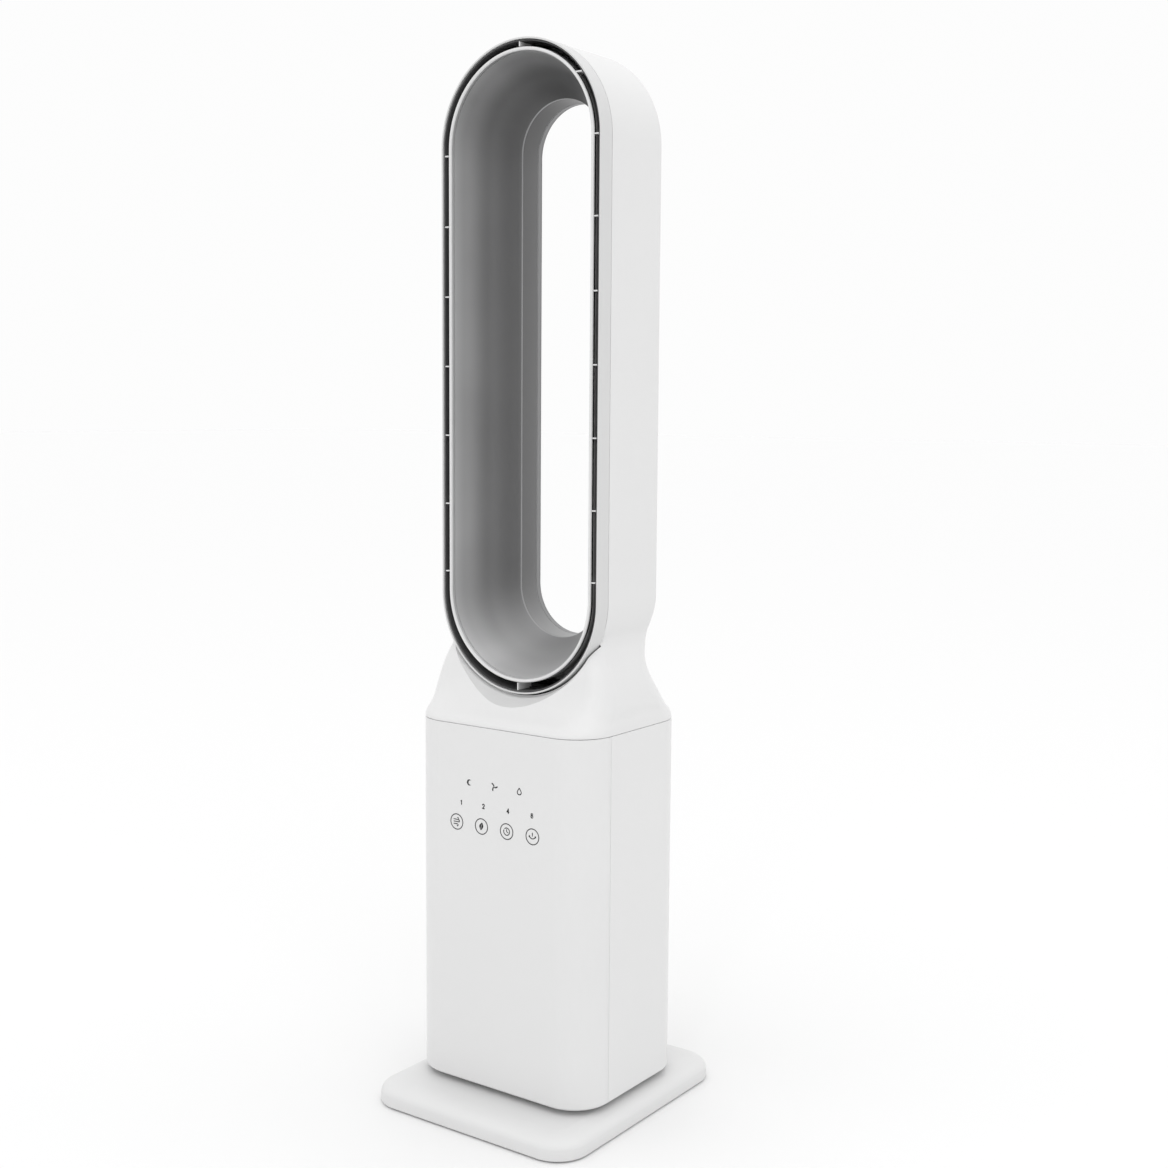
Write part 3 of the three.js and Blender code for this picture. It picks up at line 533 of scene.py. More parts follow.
# ------------------------------------------------------------------ body covers: U shells with small edge radii
def outline(front):
    """points and outward normals along the rounded body from seam to seam"""
    pts = []
    ye = SEAM_Y - 0.55 if front else SEAM_Y + 0.55
    w, d, r = HW, HD, BODY_R
    n = 28
    if front:
        pts += [((-w, ye + (-d + r - ye) * t), (-1, 0)) for t in (0,)]
        for a in np.linspace(180, 270, n + 1):
            c, s = math.cos(math.radians(a)), math.sin(math.radians(a))
            pts.append(((-w + r + r * c, -d + r + r * s), (c, s)))
        for t in np.linspace(0, 1, 14)[1:-1]:
            pts.append(((-w + r + (2 * w - 2 * r) * t, -d), (0, -1)))
        for a in np.linspace(270, 360, n + 1):
            c, s = math.cos(math.radians(a)), math.sin(math.radians(a))
            pts.append(((w - r + r * c, -d + r + r * s), (c, s)))
        pts.append(((w, ye), (1, 0)))
    else:
        pts.append(((w, ye), (1, 0)))
        for t in np.linspace(0, 1, 6)[1:-1]:
            pts.append(((w, ye + (d - r - ye) * t), (1, 0)))
        for a in np.linspace(0, 90, n + 1):
            c, s = math.cos(math.radians(a)), math.sin(math.radians(a))
            pts.append(((w - r + r * c, d - r + r * s), (c, s)))
        for t in np.linspace(0, 1, 14)[1:-1]:
            pts.append(((w - r - (2 * w - 2 * r) * t, d), (0, 1)))
        for a in np.linspace(90, 180, n + 1):
            c, s = math.cos(math.radians(a)), math.sin(math.radians(a))
            pts.append(((-w + r + r * c, d - r + r * s), (c, s)))
        for t in np.linspace(0, 1, 6)[1:-1]:
            pts.append(((-w, d - r - (d - r - ye) * t), (-1, 0)))
        pts.append(((-w, ye), (-1, 0)))
    return pts


def cover(name, front, e=1.0):
    base = outline(front)
    sgn = 1 if front else -1
    # rounded ends at the seams: extra stations, each with the outer face drawn in
    stations = []
    for end in (0, 1):
        (x, y), nrm = base[-1 if end else 0]
        es = []
        for a in np.linspace(0, math.pi / 2, 5):
            along, inset = e * (1 - math.sin(a)), e * (1 - math.cos(a))   # a=90deg at the very edge
            es.append(((x, y - sgn * (e - e * math.sin(a))), nrm, inset))
        es = sorted(es, key=lambda q: -q[2])       # from the edge inwards
        if end:
            es = es[::-1]
        stations.append(es)
    path = stations[0] + [(p, n_, 0.0) for p, n_ in base[1:-1]] + stations[1]
    z0, z1, t = BODY_Z0, BODY_Z1, WALL
    k = 0.7
    prof = [(-t, z0), (-k, z0)] + [(-k + k * math.sin(a), z0 + k - k * math.cos(a)) for a in np.linspace(0.25, math.pi / 2, 5)]
    prof += [(0, z0 + 30 + (z1 - z0 - 60) * u) for u in (0, 0.25, 0.5, 0.75, 1)]
    prof += [(-k + k * math.cos(a), z1 - k + k * math.sin(a)) for a in np.linspace(0, math.pi / 2 - 0.25, 5)] + [(-k, z1), (-t, z1)]
    loops = []
    for (x, y), (nx, ny), inset in path:
        L = []
        for nn, z in prof:
            d = nn if nn < -1.5 else min(nn, nn * 1.0) - inset
            L.append((x + nx * d, y + ny * d, z))
        loops.append(L)
    verts, faces = strip(loops)
    K = len(prof)
    faces.append(tuple(range(K - 1, -1, -1)))
    faces.append(tuple(range((len(loops) - 1) * K, len(loops) * K)))
    return obj_from(name, verts, faces)


front = cover("front", True)
bosses = []
for x, z in ((-80, 76), (80, 76), (-80, 345), (80, 345)):
    bosses.append(lathe("b", [(1.6, -70.2 + 4.2), (4.5, -70.2), (4.5, -52), (1.6, -52)], 24, (x, 0, z), "Y"))
front = piece(smooth(front), "front_cover", "shell_white")
for i, b in enumerate(bosses):
    detail(smooth(b), f"front_boss_{i + 1}", "tower", "white_satin")

rear = cover("rear", False)
cuts = [rounded_window("w", -GR_X, GR_X, GR_Z0, GR_Z1, 3.0, 60, 100)]
cuts += [lathe("c", [(0, 60), (7.3, 60), (7.3, 100), (0, 100)], 40, (0, 0, CORD_Z), "Y")]
for x, z in RSCR:
    cuts.append(lathe("c", [(0, 60), (2, 60), (2, 100), (0, 100)], 24, (x, 0, z), "Y"))
rear = boolean(rear, *cuts)
rear = smooth(bevel(rear, 0.3, 2, 60), 35)
rear = piece(rear, "rear_cover", "shell_white")
# painted shade: the faces inside the side seam are painted near-black
for o, ye in ((front, SEAM_Y - 0.55), (rear, SEAM_Y + 0.55)):      # the faces inside the side seam are in the dark
    o.data.materials.append(M["painted_shade_black"])
    co = np.array([v.co for v in o.data.vertices]) / MM
    for poly in o.data.polygons:
        if np.all(np.abs(co[list(poly.vertices)][:, 1] - ye) < 0.06):
            poly.material_index = 1
    crisp_borders(o)
# ledge behind the window that the grille seats on
ledge_out = rounded_window("l", -GR_X - 4, GR_X + 4, GR_Z0 - 4, GR_Z1 + 4, 5, HD - WALL - 2.2, HD - WALL - 0.05)
ledge = boolean(ledge_out, rounded_window("l2", -GR_X + 3, GR_X - 3, GR_Z0 + 3, GR_Z1 - 3, 0.5, 60, 100))
detail(smooth(ledge), "rear_window_ledge", "tower", "white_satin")

# rear cover screws and cord bushing
for i, (x, z) in enumerate(RSCR):
    piece(screw("s", 3.6, 1.9, (x, HD + 0.3, z), "Y", False, (1.6, 12)), f"rear_screw_{i + 1}", "steel")
bush = [(3.7, 76), (9, 76), (9, HD - WALL - 0.3), (7, HD - WALL - 0.3), (7, HD + 0.3), (8.8, HD + 0.3), (9.2, HD + 0.6), (9.1, HD + 1.4), (8.7, HD + 2.1), (7.6, HD + 2.5),
        (6.0, HD + 2.7), (5.0, HD + 3.1), (4.3, HD + 3.2), (3.8, HD + 3.0), (3.7, HD + 2.6)]
piece(smooth(lathe("b", bush, 48, (0, 0, CORD_Z), "Y")), "cord_bushing", "rubber")

# bottom tray: shows as the thin strip under the body
tray = loft("t", [rrect(HW - 2.5 - o, HD - 2.5 - o, HD - 2.5 - o, BODY_R - 2.5 - o, BODY_R - 2.5 - o, z, 24) for o, z in
                  ((0.6, TRAY_Z0), (0.2, TRAY_Z0 + 0.15), (0, TRAY_Z0 + 0.6), (0, 33.6), (0.3, 34))])
tray = boolean(tray, loft("i", [rrect(HW - 4.7, HD - 4.7, HD - 4.7, BODY_R - 4.7, BODY_R - 4.7, z, 16) for z in (28.5, 40)]),
               lathe("h", [(0, 20), (22.4, 20), (22.4, 40), (0, 40)], 64))
piece(smooth(tray), "bottom_tray", "shell_white")

# ------------------------------------------------------------------ shoulder and loop shell
TABLE = np.array([  # z, half width, front depth, rear depth, front and rear corner radius
    [358.9, 100.7, 80.35, 80.35, 37, 37], [367, 100.3, 75.6, 78.0, 35.5, 38], [372, 99.8, 69.0, 73.6, 32.5, 40],
    [379, 100.0, 62.0, 66.6, 28.5, 40], [386, 99.2, 57.2, 60.2, 24.5, 37], [394, 97.8, 53.3, 54.0, 21.5, 36], [403, 95.3, 50.4, 49.6, 19, 35.5],
    [412, 91.8, 48.2, 47.9, 17, 34], [421, 87.8, 45.3, 47.5, 15.5, 28.5], [430, 84.2, 40.6, 47.4, 14, 20], [439, 80.3, 33.8, 47.3, 12.5, 12.5], [446, 76.2, 31.6, 47.4, 12, 10]])


def smax(a, b, k):
    h = min(1, max(0, 0.5 + 0.5 * (a - b) / k))
    return b + (a - b) * h + k * h * (1 - h)


def step(a, b, x):
    t = min(1, max(0, (x - a) / (b - a)))
    return t * t * (3 - 2 * t)


BACK_ROUND = 4.0
PLANE = -BAND_Y + 0.45      # just forward of the ring seam; the pocket cut trims it


def section(z, grow=0.0):
    zz = min(z, 446.0)
    w, f, b, r, rb = (pchip(TABLE[:, 0], TABLE[:, i], zz) for i in (1, 2, 3, 4, 5))
    if z > 446:
        w -= 0.62 * (z - 446)
    wl = math.sqrt(max(0.0, LOOP_R ** 2 - min(0.0, z - ZLO) ** 2)) if z > ZLO - LOOP_R else 0.0
    w = smax(w, wl, 7.0) if wl > 30 else w
    if z > ZLO - 3:
        w = wl
    f = max(f, PLANE)
    b = b + (LOOP_BACK - b) * step(436, 450, z)
    rr = rb + (BACK_ROUND - rb) * step(440, 472, z)
    rf = r + (0.5 - r) * step(436, 452, z)
    return w, f, b, rf, rr


zs = [358.9, 359.3, 360.0, 361.2, 363.0, 365.0] + list(np.arange(367, ZLO - 0.8, 2.4)) + [ZLO]
loops = []
for z in zs:
    w, f, b, rf, rr = section(z)
    if z < 367:                       # short upright lip with a soft edge above the body seam
        k = (z - 358.9)
        inset = 0.5 * max(0, 1 - k / 0.5) ** 2
        f = pchip(np.array([358.9, 361.0, 363.0, 365.0, 367.0]), np.array([80.35, 80.2, 79.3, 77.7, 75.6]), z) - inset
        b = pchip(np.array([358.9, 361.0, 363.0, 365.0, 367.0]), np.array([80.35, 80.3, 79.9, 79.1, 78.0]), z) - inset
        w -= inset
    loops.append(rrect(w, f, b, rf, rr, z))
# upper part: the arc's wall, whose section at ZL is the same as the loft's last loop
n_c = NC + 1
low = loops[-1]
verts, faces = strip(loops)
K = len(low)
faces.append(tuple(range(K - 1, -1, -1)))
top_base = (len(loops) - 1) * K
# profile of the wall from the front plane to the rear: the right half of the last loop
prof = [low[i] for i in range(3 * n_c, 4 * n_c)] + [low[i] for i in range(0, n_c)]   # front right corner, rear right corner
left = [low[i] for i in range(2 * n_c, 3 * n_c)][::-1] + [low[i] for i in range(n_c, 2 * n_c)][::-1]
idx_right = [top_base + i for i in range(3 * n_c, 4 * n_c)] + [top_base + i for i in range(0, n_c)]
idx_left = [top_base + i for i in range(2 * n_c, 3 * n_c)][::-1] + [top_base + i for i in range(n_c, 2 * n_c)][::-1]
sts = [(0, ZLO + (ZH - ZLO) * u) for u in np.linspace(0, 1, 25)[1:]]
rings = [idx_right]
for _, z in sts:
    ids = []
    for x, y, _z in prof:
        ids.append(len(verts)); verts.append((x, y, z))
    rings.append(ids)
for a in np.linspace(0, math.pi, 2 * NA + 1)[1:-1]:
    ids = []
    for x, y, _z in prof:
        ids.append(len(verts)); verts.append((x * math.cos(a), y, ZH + x * math.sin(a)))
    rings.append(ids)
for _, z in sts[::-1]:
    ids = []
    for x, y, _z in prof:
        ids.append(len(verts)); verts.append((-x, y, z))
    rings.append(ids)
rings.append(idx_left)
for A, B in zip(rings, rings[1:]):
    for i in range(len(A) - 1):
        faces.append((A[i], A[i + 1], B[i + 1], B[i]))
faces.append(tuple(rg[0] for rg in rings))
faces.append(tuple(rg[-1] for rg in rings)[::-1])
shell = obj_from("shell", verts, faces)


def cone(name, R0, y0, R1, y1, n=2 * NA, extra=None):
    L = []
    for R, y in ((R0, y0), (R1, y1)) + ((extra,) if extra else ()):
        L.append([(R * math.cos(2 * math.pi * i / n), y, ZLO + R * math.sin(2 * math.pi * i / n)) for i in range(n)])
    return loft(name, L)


cav_loops = []
for z in [350.0] + list(np.arange(360, 429, 3.0)):
    w, f, b, rf, rr = section(max(z, 358.9))
    cav_loops.append(rrect(w - WALL, f - WALL, b - WALL, max(2, rf - WALL), max(2, rr - WALL), z, 10))
cavity = loft("cavity", cav_loops)
SCOOP_Y, SCOOP_K = -32.0, 0.24     # shallow cone opening forwards from the pocket's back


def scoop(o):
    return cone("s", POCKET_R + o + SCOOP_K * 74.5, SCOOP_Y - 74.5, POCKET_R + o, SCOOP_Y)


def dish(y):
    """radius of the open dish in front of the ring's foot at depth y"""
    return POCKET_R + 0.3 + SCOOP_K * (SCOOP_Y - y) - max(0.0, DISH_IN * (y + 62) / 19 if y > -62 else 0.0)


DISH_IN = 2.3


cavity = boolean(cavity, stadium_solid("k", [(LOOP_R, -120), (LOOP_R, 120)], zl=ZLO), stadium_solid("k", [(POCKET_R + 2, -120), (POCKET_R + 2, BAND_Y + 2.2)], zl=ZLO), scoop(2.9))
shell = boolean(shell,
                stadium_solid("p", [(POCKET_R, -120), (POCKET_R, BAND_Y + 0.15)], zl=ZLO),
                loft("s", [[(dish(y) * math.cos(2 * math.pi * i / (2 * NA)), y, ZLO + dish(y) * math.sin(2 * math.pi * i / (2 * NA))) for i in range(2 * NA)] for y in (-106.5, -62.0, -43.0)]),
                cavity,
                stadium_solid("c", [(LOOP_R - 2, -60), (LOOP_R - 2, LOOP_BACK - 8), (LOOP_R - 3.6, LOOP_BACK - 4), (LOOP_R - 8, LOOP_BACK - 2)], zl=ZLO),
                stadium_solid("w", [(REAR_R + 4, 40), (REAR_R + 4, 60)]),
                box("i", -47, 47, -24, 34, 380, 412))
piece(smooth(shell, 32), "loop_shell", "shell_white")
# painted shade: the scoop below the ring gets a slightly darker, rougher copy of the shell white, and the narrow pocket
# round the ring's foot is painted near-black
shell.data.materials.append(M["scoop_painted_shade"])
shell.data.materials.append(M["painted_shade_black"])
co = np.array([v.co for v in shell.data.vertices]) / MM
for poly in shell.data.polygons:
    P = co[list(poly.vertices)]
    rad = np.where(P[:, 2] < ZLO, np.hypot(P[:, 0], P[:, 2] - ZLO), np.abs(P[:, 0]))
    if np.all(np.abs(np.hypot(P[:, 0], P[:, 2] - ZLO) - np.array([dish(y) for y in P[:, 1]])) < 0.25) and P[:, 1].max() < -42.9:
        poly.material_index = 1
    elif (np.all(np.abs(rad - POCKET_R) < 0.12) and P[:, 1].max() < BAND_Y + 0.4) or (np.all(np.abs(P[:, 1] - BAND_Y - 0.15) < 0.05) and P[:, 2].max() < ZLO + 4):
        poly.material_index = 2
crisp_borders(shell)

# ------------------------------------------------------------------ front ring, liner, ribs, lip, duct, rear ring
R, F, B = LOOP_R, LOOP_FRONT, BAND_Y - 0.15
ring = [(R - 0.35, B)] + [(R - 0.35 + 0.35 * math.sin(a), B - 0.35 + 0.35 * math.cos(a)) for a in np.linspace(0.4, math.pi / 2, 4)]
ring += [(R, B - 6), (R - 0.02, F + 4)]
ring += [(R - 0.75 + 0.75 * math.cos(a), F + 0.75 - 0.75 * math.sin(a)) for a in np.linspace(0.15, math.pi / 2, 6)]
ring += [(R - RING_T + 0.35 - 0.35 * math.sin(a), F + 0.35 - 0.35 * math.cos(a)) for a in np.linspace(0.2, math.pi / 2, 4)] + [(R - RING_T, B)]
piece(smooth(stadium_ring("r", ring, zl=ZLO)), "front_ring", "ring_white")


def rib_box(name, r0, r1, y0, y1, half, where):
    b = box(name, r0, r1, y0, y1, -half, half)
    kind, v = where
    if kind == "right":
        mtx = Matrix.Translation((0, 0, v * MM))
    elif kind == "left":
        mtx = Matrix.Translation((0, 0, v * MM)) @ Matrix.Rotation(math.pi, 4, "Z")
        mtx = Matrix.Translation((0, 0, v * MM)) @ Matrix.Diagonal((-1, 1, 1, 1))
    else:
        centre, ang = v
        mtx = Matrix.Translation((0, 0, centre * MM)) @ Matrix.Rotation(-math.radians(ang), 4, "Y")
    b.data.transform(mtx)
    if kind == "left":
        b.data.flip_normals()
    return b


lin = LOOP_R - 2 - 0.3
rib_r1 = lin - 1.2
ribs = [stadium_ring("l", [(lin - 1.2, -30), (lin - 1.2, -26), (lin - 2.1, -26), (lin - 2.1, -30)], zl=ZLO)]
r0 = LIP_R + 0.35
places = []
for i in range(RIB_N):
    z = RIB_Z0 - i * RIB_DZ
    places += [("left", z), ("right", z + (5.5 if i == 0 else 0))]
places += [("arc", (ZH, 90)), ("foot", (ZL, -90))]
for p in places:
    ribs.append(bevel(rib_box("rb", r0, rib_r1 + (ZL - ZLO if p[0] == "foot" else 0), -46.6, -27, 0.6, p), 0.2, 2, 40))
ribs.append(bevel(box("rb", 60.2, 66.6, -46.6, -27, 923.9, 925.1), 0.2, 2, 40))      # the level one in the upper right bend
ribs = piece(smooth(merged("ribs", ribs)), "slot_rib_ring", "white_satin")
# painted shade: the rib ring's band deep in the slot is painted near-black
ribs.data.materials.append(M["painted_shade_black"])
co = np.array([v.co for v in ribs.data.vertices]) / MM
for poly in ribs.data.polygons:
    if np.all(co[list(poly.vertices)][:, 1] > -30.05) and np.all(co[list(poly.vertices)][:, 1] < -25.9):
        poly.material_index = 1
L = [(lin, -46.1), (lin, -8), (lin - 0.9, -8), (lin - 0.9, -46.1), (lin - 0.7, -46.4), (lin - 0.2, -46.4)]
piece(smooth(stadium_ring("l", L, zl=ZLO)), "slot_liner", "liner_black")

lip_pts = [(78.35 + 1.55 * math.cos(a), -45.7 - 1.8 * math.sin(a)) for a in np.linspace(0, math.pi, 17)] + [(76.6, -44.2), (76.5, -43.5)]
flare = np.array([(76.0, -43.2), (74.0, -36), (70.0, -24), (64.4, -11), (58.0, 0), (51.8, 9.6), (47.4, 15.6)])
# smooth curve through the flare
t = np.concatenate([[0], np.cumsum(np.hypot(*np.diff(flare, axis=0).T))])
flare_s = [(pchip(t, flare[:, 0], u), pchip(t, flare[:, 1], u)) for u in np.linspace(0, t[-1], 40)]
throat = [(46.2, 16.9), (45.6, 18.1), (REAR_R, 19.2), (REAR_R, 30), (REAR_R, 39.9), (45.6, 40.5), (46.0, 40.6)]
outer_back = [(47.8, 40.6), (47.8, 23.5), (57.2, 11.6), (68.5, -11), (79.9, -34)]
lip = piece(smooth(stadium_ring("lip", [(79.9, -43.5)] + lip_pts), 40), "lip_ring", "lip_white")
duct = flare_s + throat + outer_back + [(79.9, -43.2)]
duct = piece(smooth(stadium_ring("d", duct), 35), "inner_duct", "duct_silver")
# painted shade: the side of the lip and duct that faces the slot and the air channel is painted near-black
for o, skin in ((lip, lambda r, y: r > 79.75 and y > -45.8), (duct, lambda r, y: r > 74 + 0.0 * y and y > -43.3 and r > 79.9 - 0.498 * (y + 34) - 1.2)):
    o.data.materials.append(M["painted_shade_black"])
    co = np.array([v.co for v in o.data.vertices]) / MM
    for poly in o.data.polygons:
        P = co[list(poly.vertices)]
        dz = np.maximum(0, P[:, 2] - ZH) + np.minimum(0, P[:, 2] - ZL)
        if all(skin(r, y) for r, y in zip(np.hypot(P[:, 0], dz), P[:, 1])):
            poly.material_index = 1
    crisp_borders(o)
# painted shade: the lip's flank inside the opening gets the duct's darker grey, with its painted depth shade
lip.data.materials.append(M["duct_silver"])
co_lip = np.array([v.co for v in lip.data.vertices]) / MM
for poly in lip.data.polygons:
    P = co_lip[list(poly.vertices)]
    dz = np.maximum(0, P[:, 2] - ZH) + np.minimum(0, P[:, 2] - ZL)
    if P[:, 1].min() > -45.75 and np.hypot(P[:, 0], dz).max() < 77.0:
        poly.material_index = 2
crisp_borders(lip)
# painted highlight: lighter bands at the step into the throat and at its rear end
duct.data.materials.append(M["duct_painted_highlight"])
for poly in duct.data.polygons:
    P = co[list(poly.vertices)]
    dz = np.maximum(0, P[:, 2] - ZH) + np.minimum(0, P[:, 2] - ZL)
    r_ = np.hypot(P[:, 0], dz)
    if r_.max() < 46.4 and ((P[:, 1].min() > 16.8 and P[:, 1].max() < 18.3) or P[:, 1].min() > 39.8):
        poly.material_index = 2
crisp_borders(duct)

q0, q1 = REAR_R, REAR_R + 3.7
rr_prof = [(q0 + 0.4, 40.9), (q0 + 0.1, 41.0), (q0, 41.3), (q0, 45.2), (q0 + 0.35, 45.5), (q0 + 0.35, 46.0), (q0 + 0.1, 46.3), (q0 + 0.2, 46.9), (q0 + 0.7, 47.2), (q1 - 0.4, 47.2), (q1, 46.8), (q1, 40.9)]
piece(smooth(stadium_ring("rr", rr_prof)), "rear_ring", "trim_grey")

# ------------------------------------------------------------------ rear grille: frame with two columns of rounded slots
gx, g0, g1 = GR_X - 0.3, GR_Z0 + 0.3, GR_Z1 - 0.3


def rounded_outline(x0, x1, z0, z1, r, n=6):
    cx, cz, w, h = (x0 + x1) / 2, (z0 + z1) / 2, (x1 - x0) / 2, (z1 - z0) / 2
    return [(x + cx, z + cz) for x, z, _ in rrect(w, h, h, r, r, 0, n)]


outl = [rounded_outline(-gx, gx, g0, g1, 2.7)]
rows = 18
pit = (g1 - g0 - 16) / rows
for i in range(rows):
    zc = g0 + 8 + pit * (i + 0.5)
    for a, b in ((-54, -1.6), (1.6, 54)):
        outl.append(rounded_outline(a, b, zc - 4.2, zc + 4.2, 4.15, 7))
g = curve_plate("g", outl, 1.9, 0.45, 2)
shift(g, y=HD - 0.95)
piece(smooth(g, 35), "rear_grille", "shell_white")

# ------------------------------------------------------------------ prints on the front cover
FACE = -HD - 0.02


def flat(name, outlines, mat, depth=0.1):
    o = curve_plate(name, outlines, depth, 0)
    shift(o, y=FACE - depth / 2 + 0.02)
    return detail(o, name, "tower", mat)


def circle(cx, cz, r, n=64, a0=0.0):
    return [(cx + r * math.cos(a0 + 2 * math.pi * i / n), cz + r * math.sin(a0 + 2 * math.pi * i / n)) for i in range(n)]


def stroke(pts, w):
    """thick line with round ends along an open run of points, as a closed outline"""
    P = np.array(pts, float)
    T = np.gradient(P, axis=0)
    T /= np.linalg.norm(T, axis=1)[:, None]
    Nn = np.stack([-T[:, 1], T[:, 0]], 1)
    a, b = P + Nn * w / 2, P - Nn * w / 2
    th = math.atan2(T[-1][1], T[-1][0])
    cap1 = [(P[-1][0] + w / 2 * math.cos(th + math.pi / 2 - k), P[-1][1] + w / 2 * math.sin(th + math.pi / 2 - k)) for k in np.linspace(0, math.pi, 7)[1:-1]]
    th = math.atan2(T[0][1], T[0][0])
    cap0 = [(P[0][0] + w / 2 * math.cos(th - math.pi / 2 - k), P[0][1] + w / 2 * math.sin(th - math.pi / 2 - k)) for k in np.linspace(0, math.pi, 7)[1:-1]]
    return [tuple(p) for p in a] + cap1 + [tuple(p) for p in b[::-1]] + cap0


def arc_pts(cx, cz, r, a0, a1, n=16):
    return [(cx + r * math.cos(math.radians(a0 + (a1 - a0) * i / n)), cz + r * math.sin(math.radians(a0 + (a1 - a0) * i / n))) for i in range(n + 1)]


for i, x in enumerate(KEY_X):
    flat(f"key_ring_{i + 1}", [circle(x, KEY_Z, 7.5, 96), circle(x, KEY_Z, 6.6, 96)], "print_ring")
# key 1: air speed, three curls
x = KEY_X[0]
for j, (dz, l) in enumerate(((2.1, 3.6), (0, 4.6), (-2.1, 3.2))):
    pts = [(x - 3.4 + l * 1.25 * u, KEY_Z + dz) for u in np.linspace(0, 1, 6)]
    pts = pts[:-1] + arc_pts(pts[-1][0], KEY_Z + dz + (0.9 if j < 2 else -0.9), 0.9, -90 if j < 2 else 90, 110 if j < 2 else -110, 10)
    flat(f"key_mark_air_{j + 1}", [stroke(pts, 0.85)], "print_ink")
# key 2: leaf with its midrib left open
x = KEY_X[1]
side = [(x - 2.6 * math.sin(math.pi * u) * (0.8 + 0.3 * u) + 1.3 * (u - 0.5), KEY_Z - 3.6 + 7.4 * u) for u in np.linspace(0, 1, 16)]
side2 = [(x + 2.5 * math.sin(math.pi * u) * (0.9 - 0.1 * u) + 1.3 * (u - 0.5), KEY_Z - 3.6 + 7.4 * u) for u in np.linspace(1, 0, 16)]
mid = stroke([(x - 0.75 + 1.2 * u, KEY_Z - 2.4 + 4.4 * u) for u in np.linspace(0, 1, 5)], 0.4)
flat("key_mark_leaf", [side + side2[1:-1], mid[::-1]], "print_ink")
# key 3: clock hands and a dial arc
x = KEY_X[2]
flat("key_mark_dial", [stroke(arc_pts(x, KEY_Z, 3.3, 130, -200, 30), 0.85)], "print_ink")
flat("key_mark_hand", [stroke([(x + 0.0, KEY_Z + 2.0), (x, KEY_Z + 1), (x, KEY_Z), (x + 0.9, KEY_Z - 0.5), (x + 1.7, KEY_Z - 0.95)], 0.8)], "print_ink")
# key 4: swing arrows
x = KEY_X[3]
flat("key_mark_swing", [stroke(arc_pts(x, KEY_Z + 2.2, 4.0, 215, 325, 18), 0.85)], "print_ink")
for s, nm in ((-1, "left"), (1, "right")):
    tip = (x + s * 4.0 * math.cos(math.radians(35)), KEY_Z + 2.2 - 4.0 * math.sin(math.radians(35)))
    flat(f"key_mark_swing_{nm}", [[(tip[0] + s * 0.5, tip[1] + 1.4), (tip[0] - s * 1.2, tip[1] + 0.3), (tip[0] + s * 0.9, tip[1] - 0.7)][::s]], "print_ink")
flat("key_mark_post", [stroke([(x, KEY_Z + 3.4), (x, KEY_Z + 2.0), (x, KEY_Z + 0.6)], 0.85)], "print_ink")

# plain numbers over the keys

def digit(ch, cx, cz, h, name):
    w = h * 0.52
    P = lambda u, v: (cx + (u - 0.5) * w, cz + (v - 0.5) * h)
    paths = {"1": [[P(.2, .78), P(.55, 1), P(.55, .5), P(.55, 0)]],
             "2": [arc_pts(*P(.5, .72), w * .5, 165, -30, 10) + [P(.05, 0)], [P(.05, 0), P(.5, 0), P(1, 0)]],
             "4": [[P(.75, 0), P(.75, .5), P(.75, 1)], [P(.75, 1), P(.4, .65), P(.0, .3)], [P(0, .3), P(.5, .3), P(1, .3)]],
             "8": [arc_pts(*P(.5, .74), w * .42, 0, 340, 16), arc_pts(*P(.5, .26), w * .5, 0, 340, 16)]}[ch]
    for k, p in enumerate(paths):
        flat(f"{name}_{k + 1}", [stroke(p, 1.0)], "print_ink")


for ch, x in zip("1248", (-37.7, -12.1, 15.8, 42.6)):
    digit(ch, x, 287.2, 4.0, f"number_{ch}")
# three indicator marks: crescent, blades, drop
IZ = 306.7
cres = arc_pts(-28.5, IZ, 2.8, 60, 300, 24) + arc_pts(-27.3, IZ, 2.1, 292, 68, 20)
flat("indicator_night", [cres], "print_ink")
for k in range(3):
    a = 90 + 120 * k
    pts = [(u * 3.6 * math.cos(math.radians(a + 38 * u)), IZ + u * 3.6 * math.sin(math.radians(a + 38 * u))) for u in np.linspace(0.25, 1, 8)]
    flat(f"indicator_blade_{k + 1}", [stroke(pts, 1.25)], "print_ink")
drop = [(28.5 + 2.7 * math.sin(t_) * (1 - 0.55 * (math.cos(t_) > 0) * math.cos(t_)), IZ - 0.6 - 2.7 * -math.cos(t_) * (1.5 if math.cos(t_) > 0 else 1)) for t_ in np.linspace(0, 2 * math.pi, 32, endpoint=False)]
inner = [(28.5 + (x_ - 28.5) * 0.66, IZ + (z_ - IZ) * 0.66 - 0.15) for x_, z_ in drop]
flat("indicator_drop", [drop, inner], "print_ink")

# ------------------------------------------------------------------ nodes kept from the CAD: finish only
for n, o in NODES.items():
    if n in MADE:
        continue
    slot_name = SLOT_OF.get(n, "grey_plastic")
    o.data.materials.clear()
    o.data.materials.append(M.get(slot_name, M["grey_plastic"]))

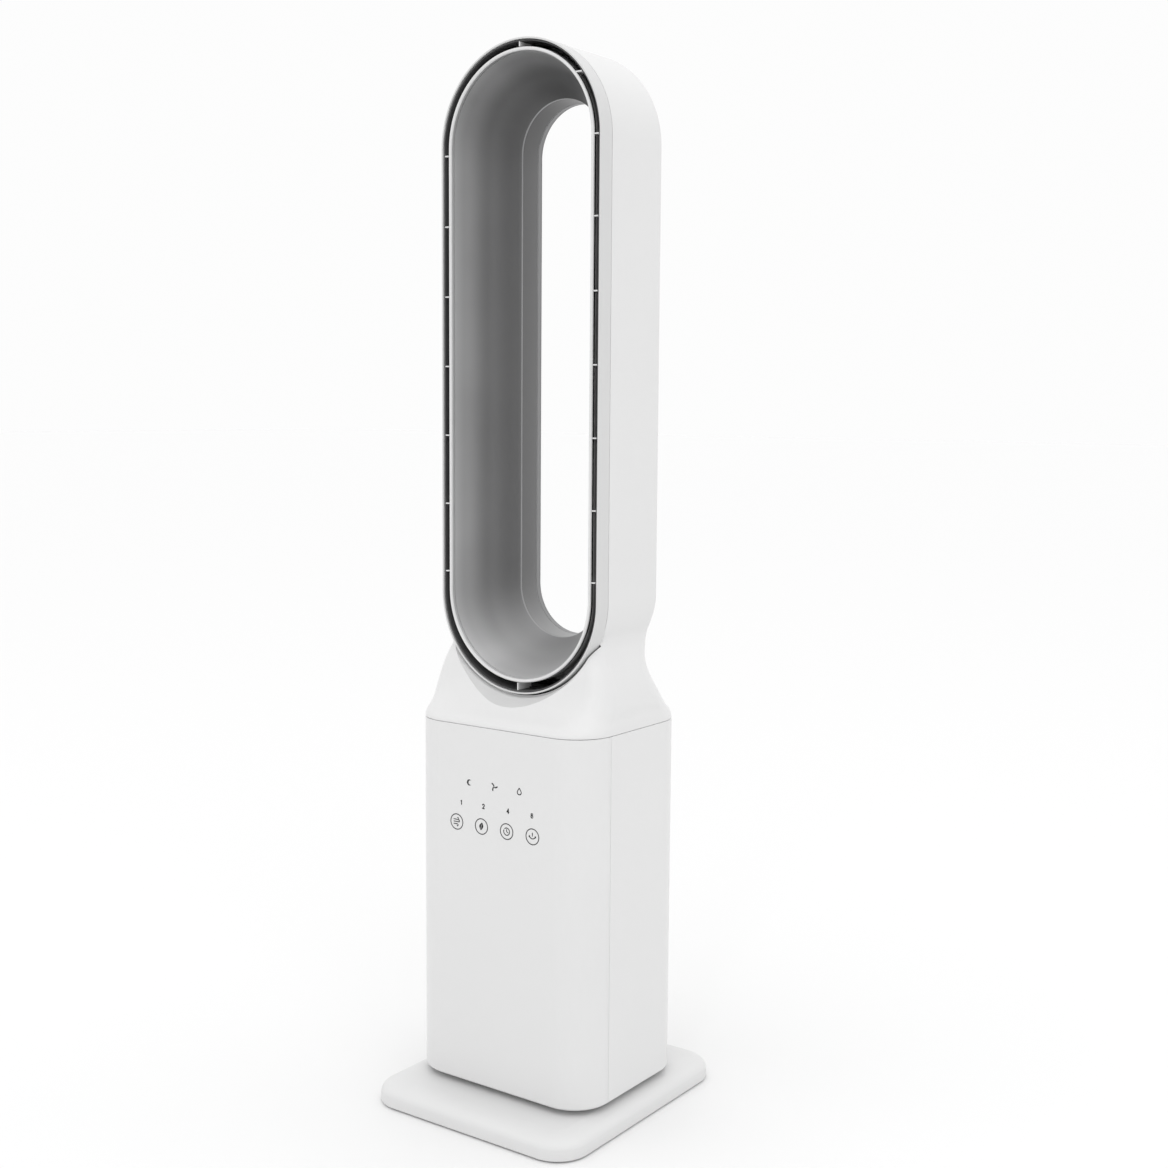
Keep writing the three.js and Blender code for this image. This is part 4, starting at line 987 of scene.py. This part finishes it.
# ------------------------------------------------------------------ floor and light
fl = bpy.data.meshes.new("floor")
s = 30.0
fl.from_pydata([(-s, -s, 0), (s, -s, 0), (s, s, 0), (-s, s, 0)], [], [(0, 1, 2, 3)])
floor = bpy.data.objects.new("floor", fl)
bpy.context.scene.collection.objects.link(floor)
fm = bpy.data.materials.new("floor_white")
fm.use_nodes = True
b = fm.node_tree.nodes["Principled BSDF"]
b.inputs["Base Color"].default_value = (0.82, 0.82, 0.82, 1)
b.inputs["Roughness"].default_value = 0.9
b.inputs["Specular IOR Level"].default_value = 0.2
nz = fm.node_tree.nodes.new("ShaderNodeTexNoise")
nz.inputs["Scale"].default_value = 3
mr = fm.node_tree.nodes.new("ShaderNodeMapRange")
mr.inputs["To Min"].default_value, mr.inputs["To Max"].default_value = 0.85, 0.95
fm.node_tree.links.new(nz.outputs["Fac"], mr.inputs["Value"])
fm.node_tree.links.new(mr.outputs[0], b.inputs["Roughness"])
fl.materials.append(fm)

world = bpy.data.worlds.new("studio")
bpy.context.scene.world = world
world.use_nodes = True
bg = world.node_tree.nodes["Background"]
bg.inputs[0].default_value = (1, 1, 1, 1)
# even near the horizon, brighter overhead as under a large soft box
wn = world.node_tree.nodes
wtc, wsep, wmr = wn.new("ShaderNodeTexCoord"), wn.new("ShaderNodeSeparateXYZ"), wn.new("ShaderNodeMapRange")
wmr.interpolation_type = "SMOOTHSTEP"
wmr.inputs["From Min"].default_value, wmr.inputs["From Max"].default_value = 0.28, 1.0
wmr.inputs["To Min"].default_value, wmr.inputs["To Max"].default_value = 0.98, 1.35
world.node_tree.links.new(wtc.outputs["Generated"], wsep.inputs[0])
world.node_tree.links.new(wsep.outputs[2], wmr.inputs["Value"])
world.node_tree.links.new(wmr.outputs[0], bg.inputs[1])


def area(name, loc, target, size, power, color=(1, 1, 1)):
    li = bpy.data.lights.new(name, "AREA")
    li.shape, li.size, li.size_y, li.energy, li.color = "RECTANGLE", size[0], size[1], power, color
    o = bpy.data.objects.new(name, li)
    bpy.context.scene.collection.objects.link(o)
    o.location = loc
    o.rotation_mode = "QUATERNION"
    o.rotation_quaternion = (Vector(target) - Vector(loc)).to_track_quat("-Z", "Y")
    return o


area("key", (2.2, -1.6, 2.4), (0, 0, 0.6), (1.6, 2.2), 5)
area("strip", (0.95, -2.3, 1.9), (0, 0, 0.45), (0.3, 1.5), 3)
area("top", (0.2, -0.3, 3.2), (0, 0, 0.5), (2.2, 2.2), 2)
bpy.context.scene.view_settings.view_transform = "Standard"
